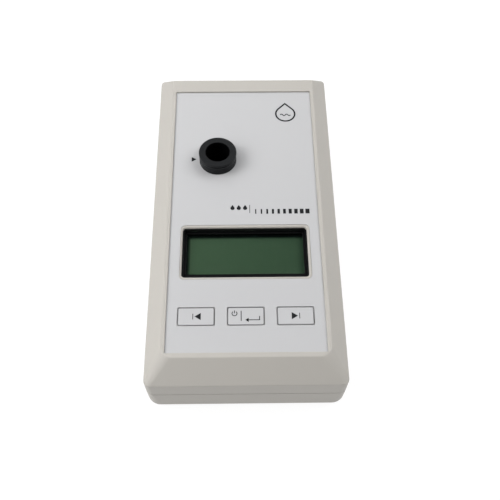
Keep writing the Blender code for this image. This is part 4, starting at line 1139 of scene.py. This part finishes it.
def make_battery():
    """The nine volt battery: a wrapped jacket between two crimped ends, with its two studs."""
    low, high = BATTERY_LOW, BATTERY_HIGH
    end_x = high.x - BATTERY_STUD
    half = Vector(((end_x - low.x) / 2, (high.y - low.y) / 2, (high.z - low.z) / 2))
    centre = Vector(((end_x + low.x) / 2, (high.y + low.y) / 2, (high.z + low.z) / 2))
    ends = [
        (half.x - 0.6 * MM, 1.6 * MM),
        (half.x, 1.2 * MM),
        (half.x, 0.5 * MM),
        (half.x - 0.5 * MM, 0.15 * MM),
        (half.x - 0.9 * MM, 0),
    ]
    rows = [(-x, inset) for x, inset in ends] + [(x, inset) for x, inset in reversed(ends)]
    rings = []
    for x, inset in rows:
        ring = oblong(half.z - inset, inset - half.y, half.y - inset, 1.6 * MM, 0)
        rings.append([Vector((x, point.y, point.x)) for point in ring])
    cell = solid("battery_cell", skin(rings), centre)
    for side in (-1, 1):
        at = (end_x, centre.y + side * 6.35 * MM, centre.z)
        line = [(3.6 * MM, -1.5 * MM, 0), (3.6 * MM, BATTERY_STUD, 0.4 * MM), (1 * MM, BATTERY_STUD, 0)]
        join(cell, spun("tool", line, at, axis="X"))
    place(settle(cell), "case", "battery_jacket", "battery")


def make_screw(index):
    """A cross-head case screw, head down."""
    x, y = CASE_SCREWS[index]
    low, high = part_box(f"case_screw_{index + 1}")
    seat = low.z + 2.2 * MM
    line = [
        (1.2 * MM, low.z, 0),
        (2.8 * MM, low.z, 0.7 * MM),
        (2.8 * MM, seat, 0.15 * MM),
        (1.3 * MM, seat, 0.1 * MM),
        (1.3 * MM, high.z - 1.6 * MM, 0.3 * MM),
        (0.3 * MM, high.z, 0),
    ]
    screw = spun(f"case_fastener_{index + 1}", line, (x, y, 0))
    for half_x, half_y in (mm(1.7, 0.38), mm(0.38, 1.7)):
        levels = ((1, 0.15 * MM, low.z - PAST), (0.6, 0.1 * MM, low.z + 1.2 * MM))
        slot = [oblong(s * half_x, -s * half_y, s * half_y, corner, z, 3) for s, corner, z in levels]
        cut(screw, solid("tool", skin(slot), (x, y, 0)))
    place(settle(screw), "case", "plated_steel", f"case_screw_{index + 1}")


def make_foot(index):
    """A rubber foot with a shallow ring in its sole."""
    x, y = FEET[index]
    low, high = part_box(f"foot_{index + 1}")
    line = [
        (0.3 * MM, low.z + 0.25 * MM, 0),
        (2.4 * MM, low.z + 0.25 * MM, 0.1 * MM),
        (2.7 * MM, low.z, 0.15 * MM),
        (FOOT_RADIUS, low.z, 0.5 * MM),
        (FOOT_RADIUS, high.z, 0.1 * MM),
        (1 * MM, high.z, 0),
    ]
    foot = spun(f"foot_pad_{index + 1}", line, (x, y, 0), ROUND)
    place(settle(foot), "case", "foot_rubber", f"foot_{index + 1}")


def finish_inner_nodes():
    """What keeps its CAD shape gets the finish of its slot in the record."""
    slots = {part["node"]: part["material_slot"] for part in frame["record"]["subparts"]}
    for name, node in frame["nodes"].items():
        if node.hide_render:
            continue
        node.data.materials.clear()
        node.data.materials.append(FINISHES[slots[name]])


# ---- studio
def make_camera():
    pitch, yaw, roll = (radians(a) for a in (CAMERA_PITCH, CAMERA_YAW, CAMERA_ROLL))
    forward = Vector((sin(yaw) * cos(pitch), cos(yaw) * cos(pitch), -sin(pitch)))
    level = Vector((cos(yaw), -sin(yaw), 0))
    up = level.cross(forward)
    across = cos(roll) * level + sin(roll) * up
    upward = cos(roll) * up - sin(roll) * level
    turn = Matrix((across, upward, -forward)).transposed().to_4x4()
    data = bpy.data.cameras.new("camera")
    data.lens = LENS
    data.sensor_width = 36
    data.clip_start = 0.01
    data.clip_end = 100
    camera = link(bpy.data.objects.new("camera", data))
    camera.matrix_world = Matrix.Translation(CAMERA_AT) @ turn
    bpy.context.scene.camera = camera


def make_floor():
    """A wide, pale floor that is lit evenly, as a light table is."""
    shape = bmesh.new()
    bmesh.ops.create_grid(shape, x_segments=8, y_segments=8, size=20)
    floor = solid("floor", shape, (0, 0, -FLOOR_DROP))
    grey = (0.14, 0.14, 0.14)
    material, tree, inputs = grained("floor_white", grey, 0.9, 2 * MM, 0.01 * MM, 0.003, specular=0.0)
    feed(tree, inputs, {"Emission Color": (1, 1, 1, 1), "Emission Strength": FLOOR_GLOW})
    floor.data.materials.append(material)


def make_lights():
    for name, at, width, height, power in LIGHTS:
        data = bpy.data.lights.new(name, "AREA")
        data.shape = "RECTANGLE"
        data.size = width
        data.size_y = height
        data.energy = power
        light = link(bpy.data.objects.new(name, data))
        light.location = at
        light.rotation_mode = "QUATERNION"
        light.rotation_quaternion = (-Vector(at)).to_track_quat("-Z", "Y")
    world = bpy.data.worlds.new("studio")
    world.use_nodes = True
    tree = world.node_tree
    towards = add(tree, "TexCoord").outputs["Generated"]
    glow = ramp(tree, only(tree, towards, "Z"), *HORIZON, HORIZON_GLOW, 0.0)
    feed(tree, tree.nodes["Background"].inputs, {"Color": (1, 1, 1, 1), "Strength": glow})
    bpy.context.scene.world = world
    bpy.context.scene.view_settings.view_transform = "Standard"


def main():
    make_upper_case()
    make_lower_case()
    make_film()
    for name in KEYS:
        make_key(name)
    make_prints()
    make_key_prints()
    make_collar()
    make_display()
    make_door()
    make_battery()
    for index in range(len(CASE_SCREWS)):
        make_screw(index)
    for index in range(len(FEET)):
        make_foot(index)
    finish_inner_nodes()
    make_camera()
    make_floor()
    make_lights()


main()
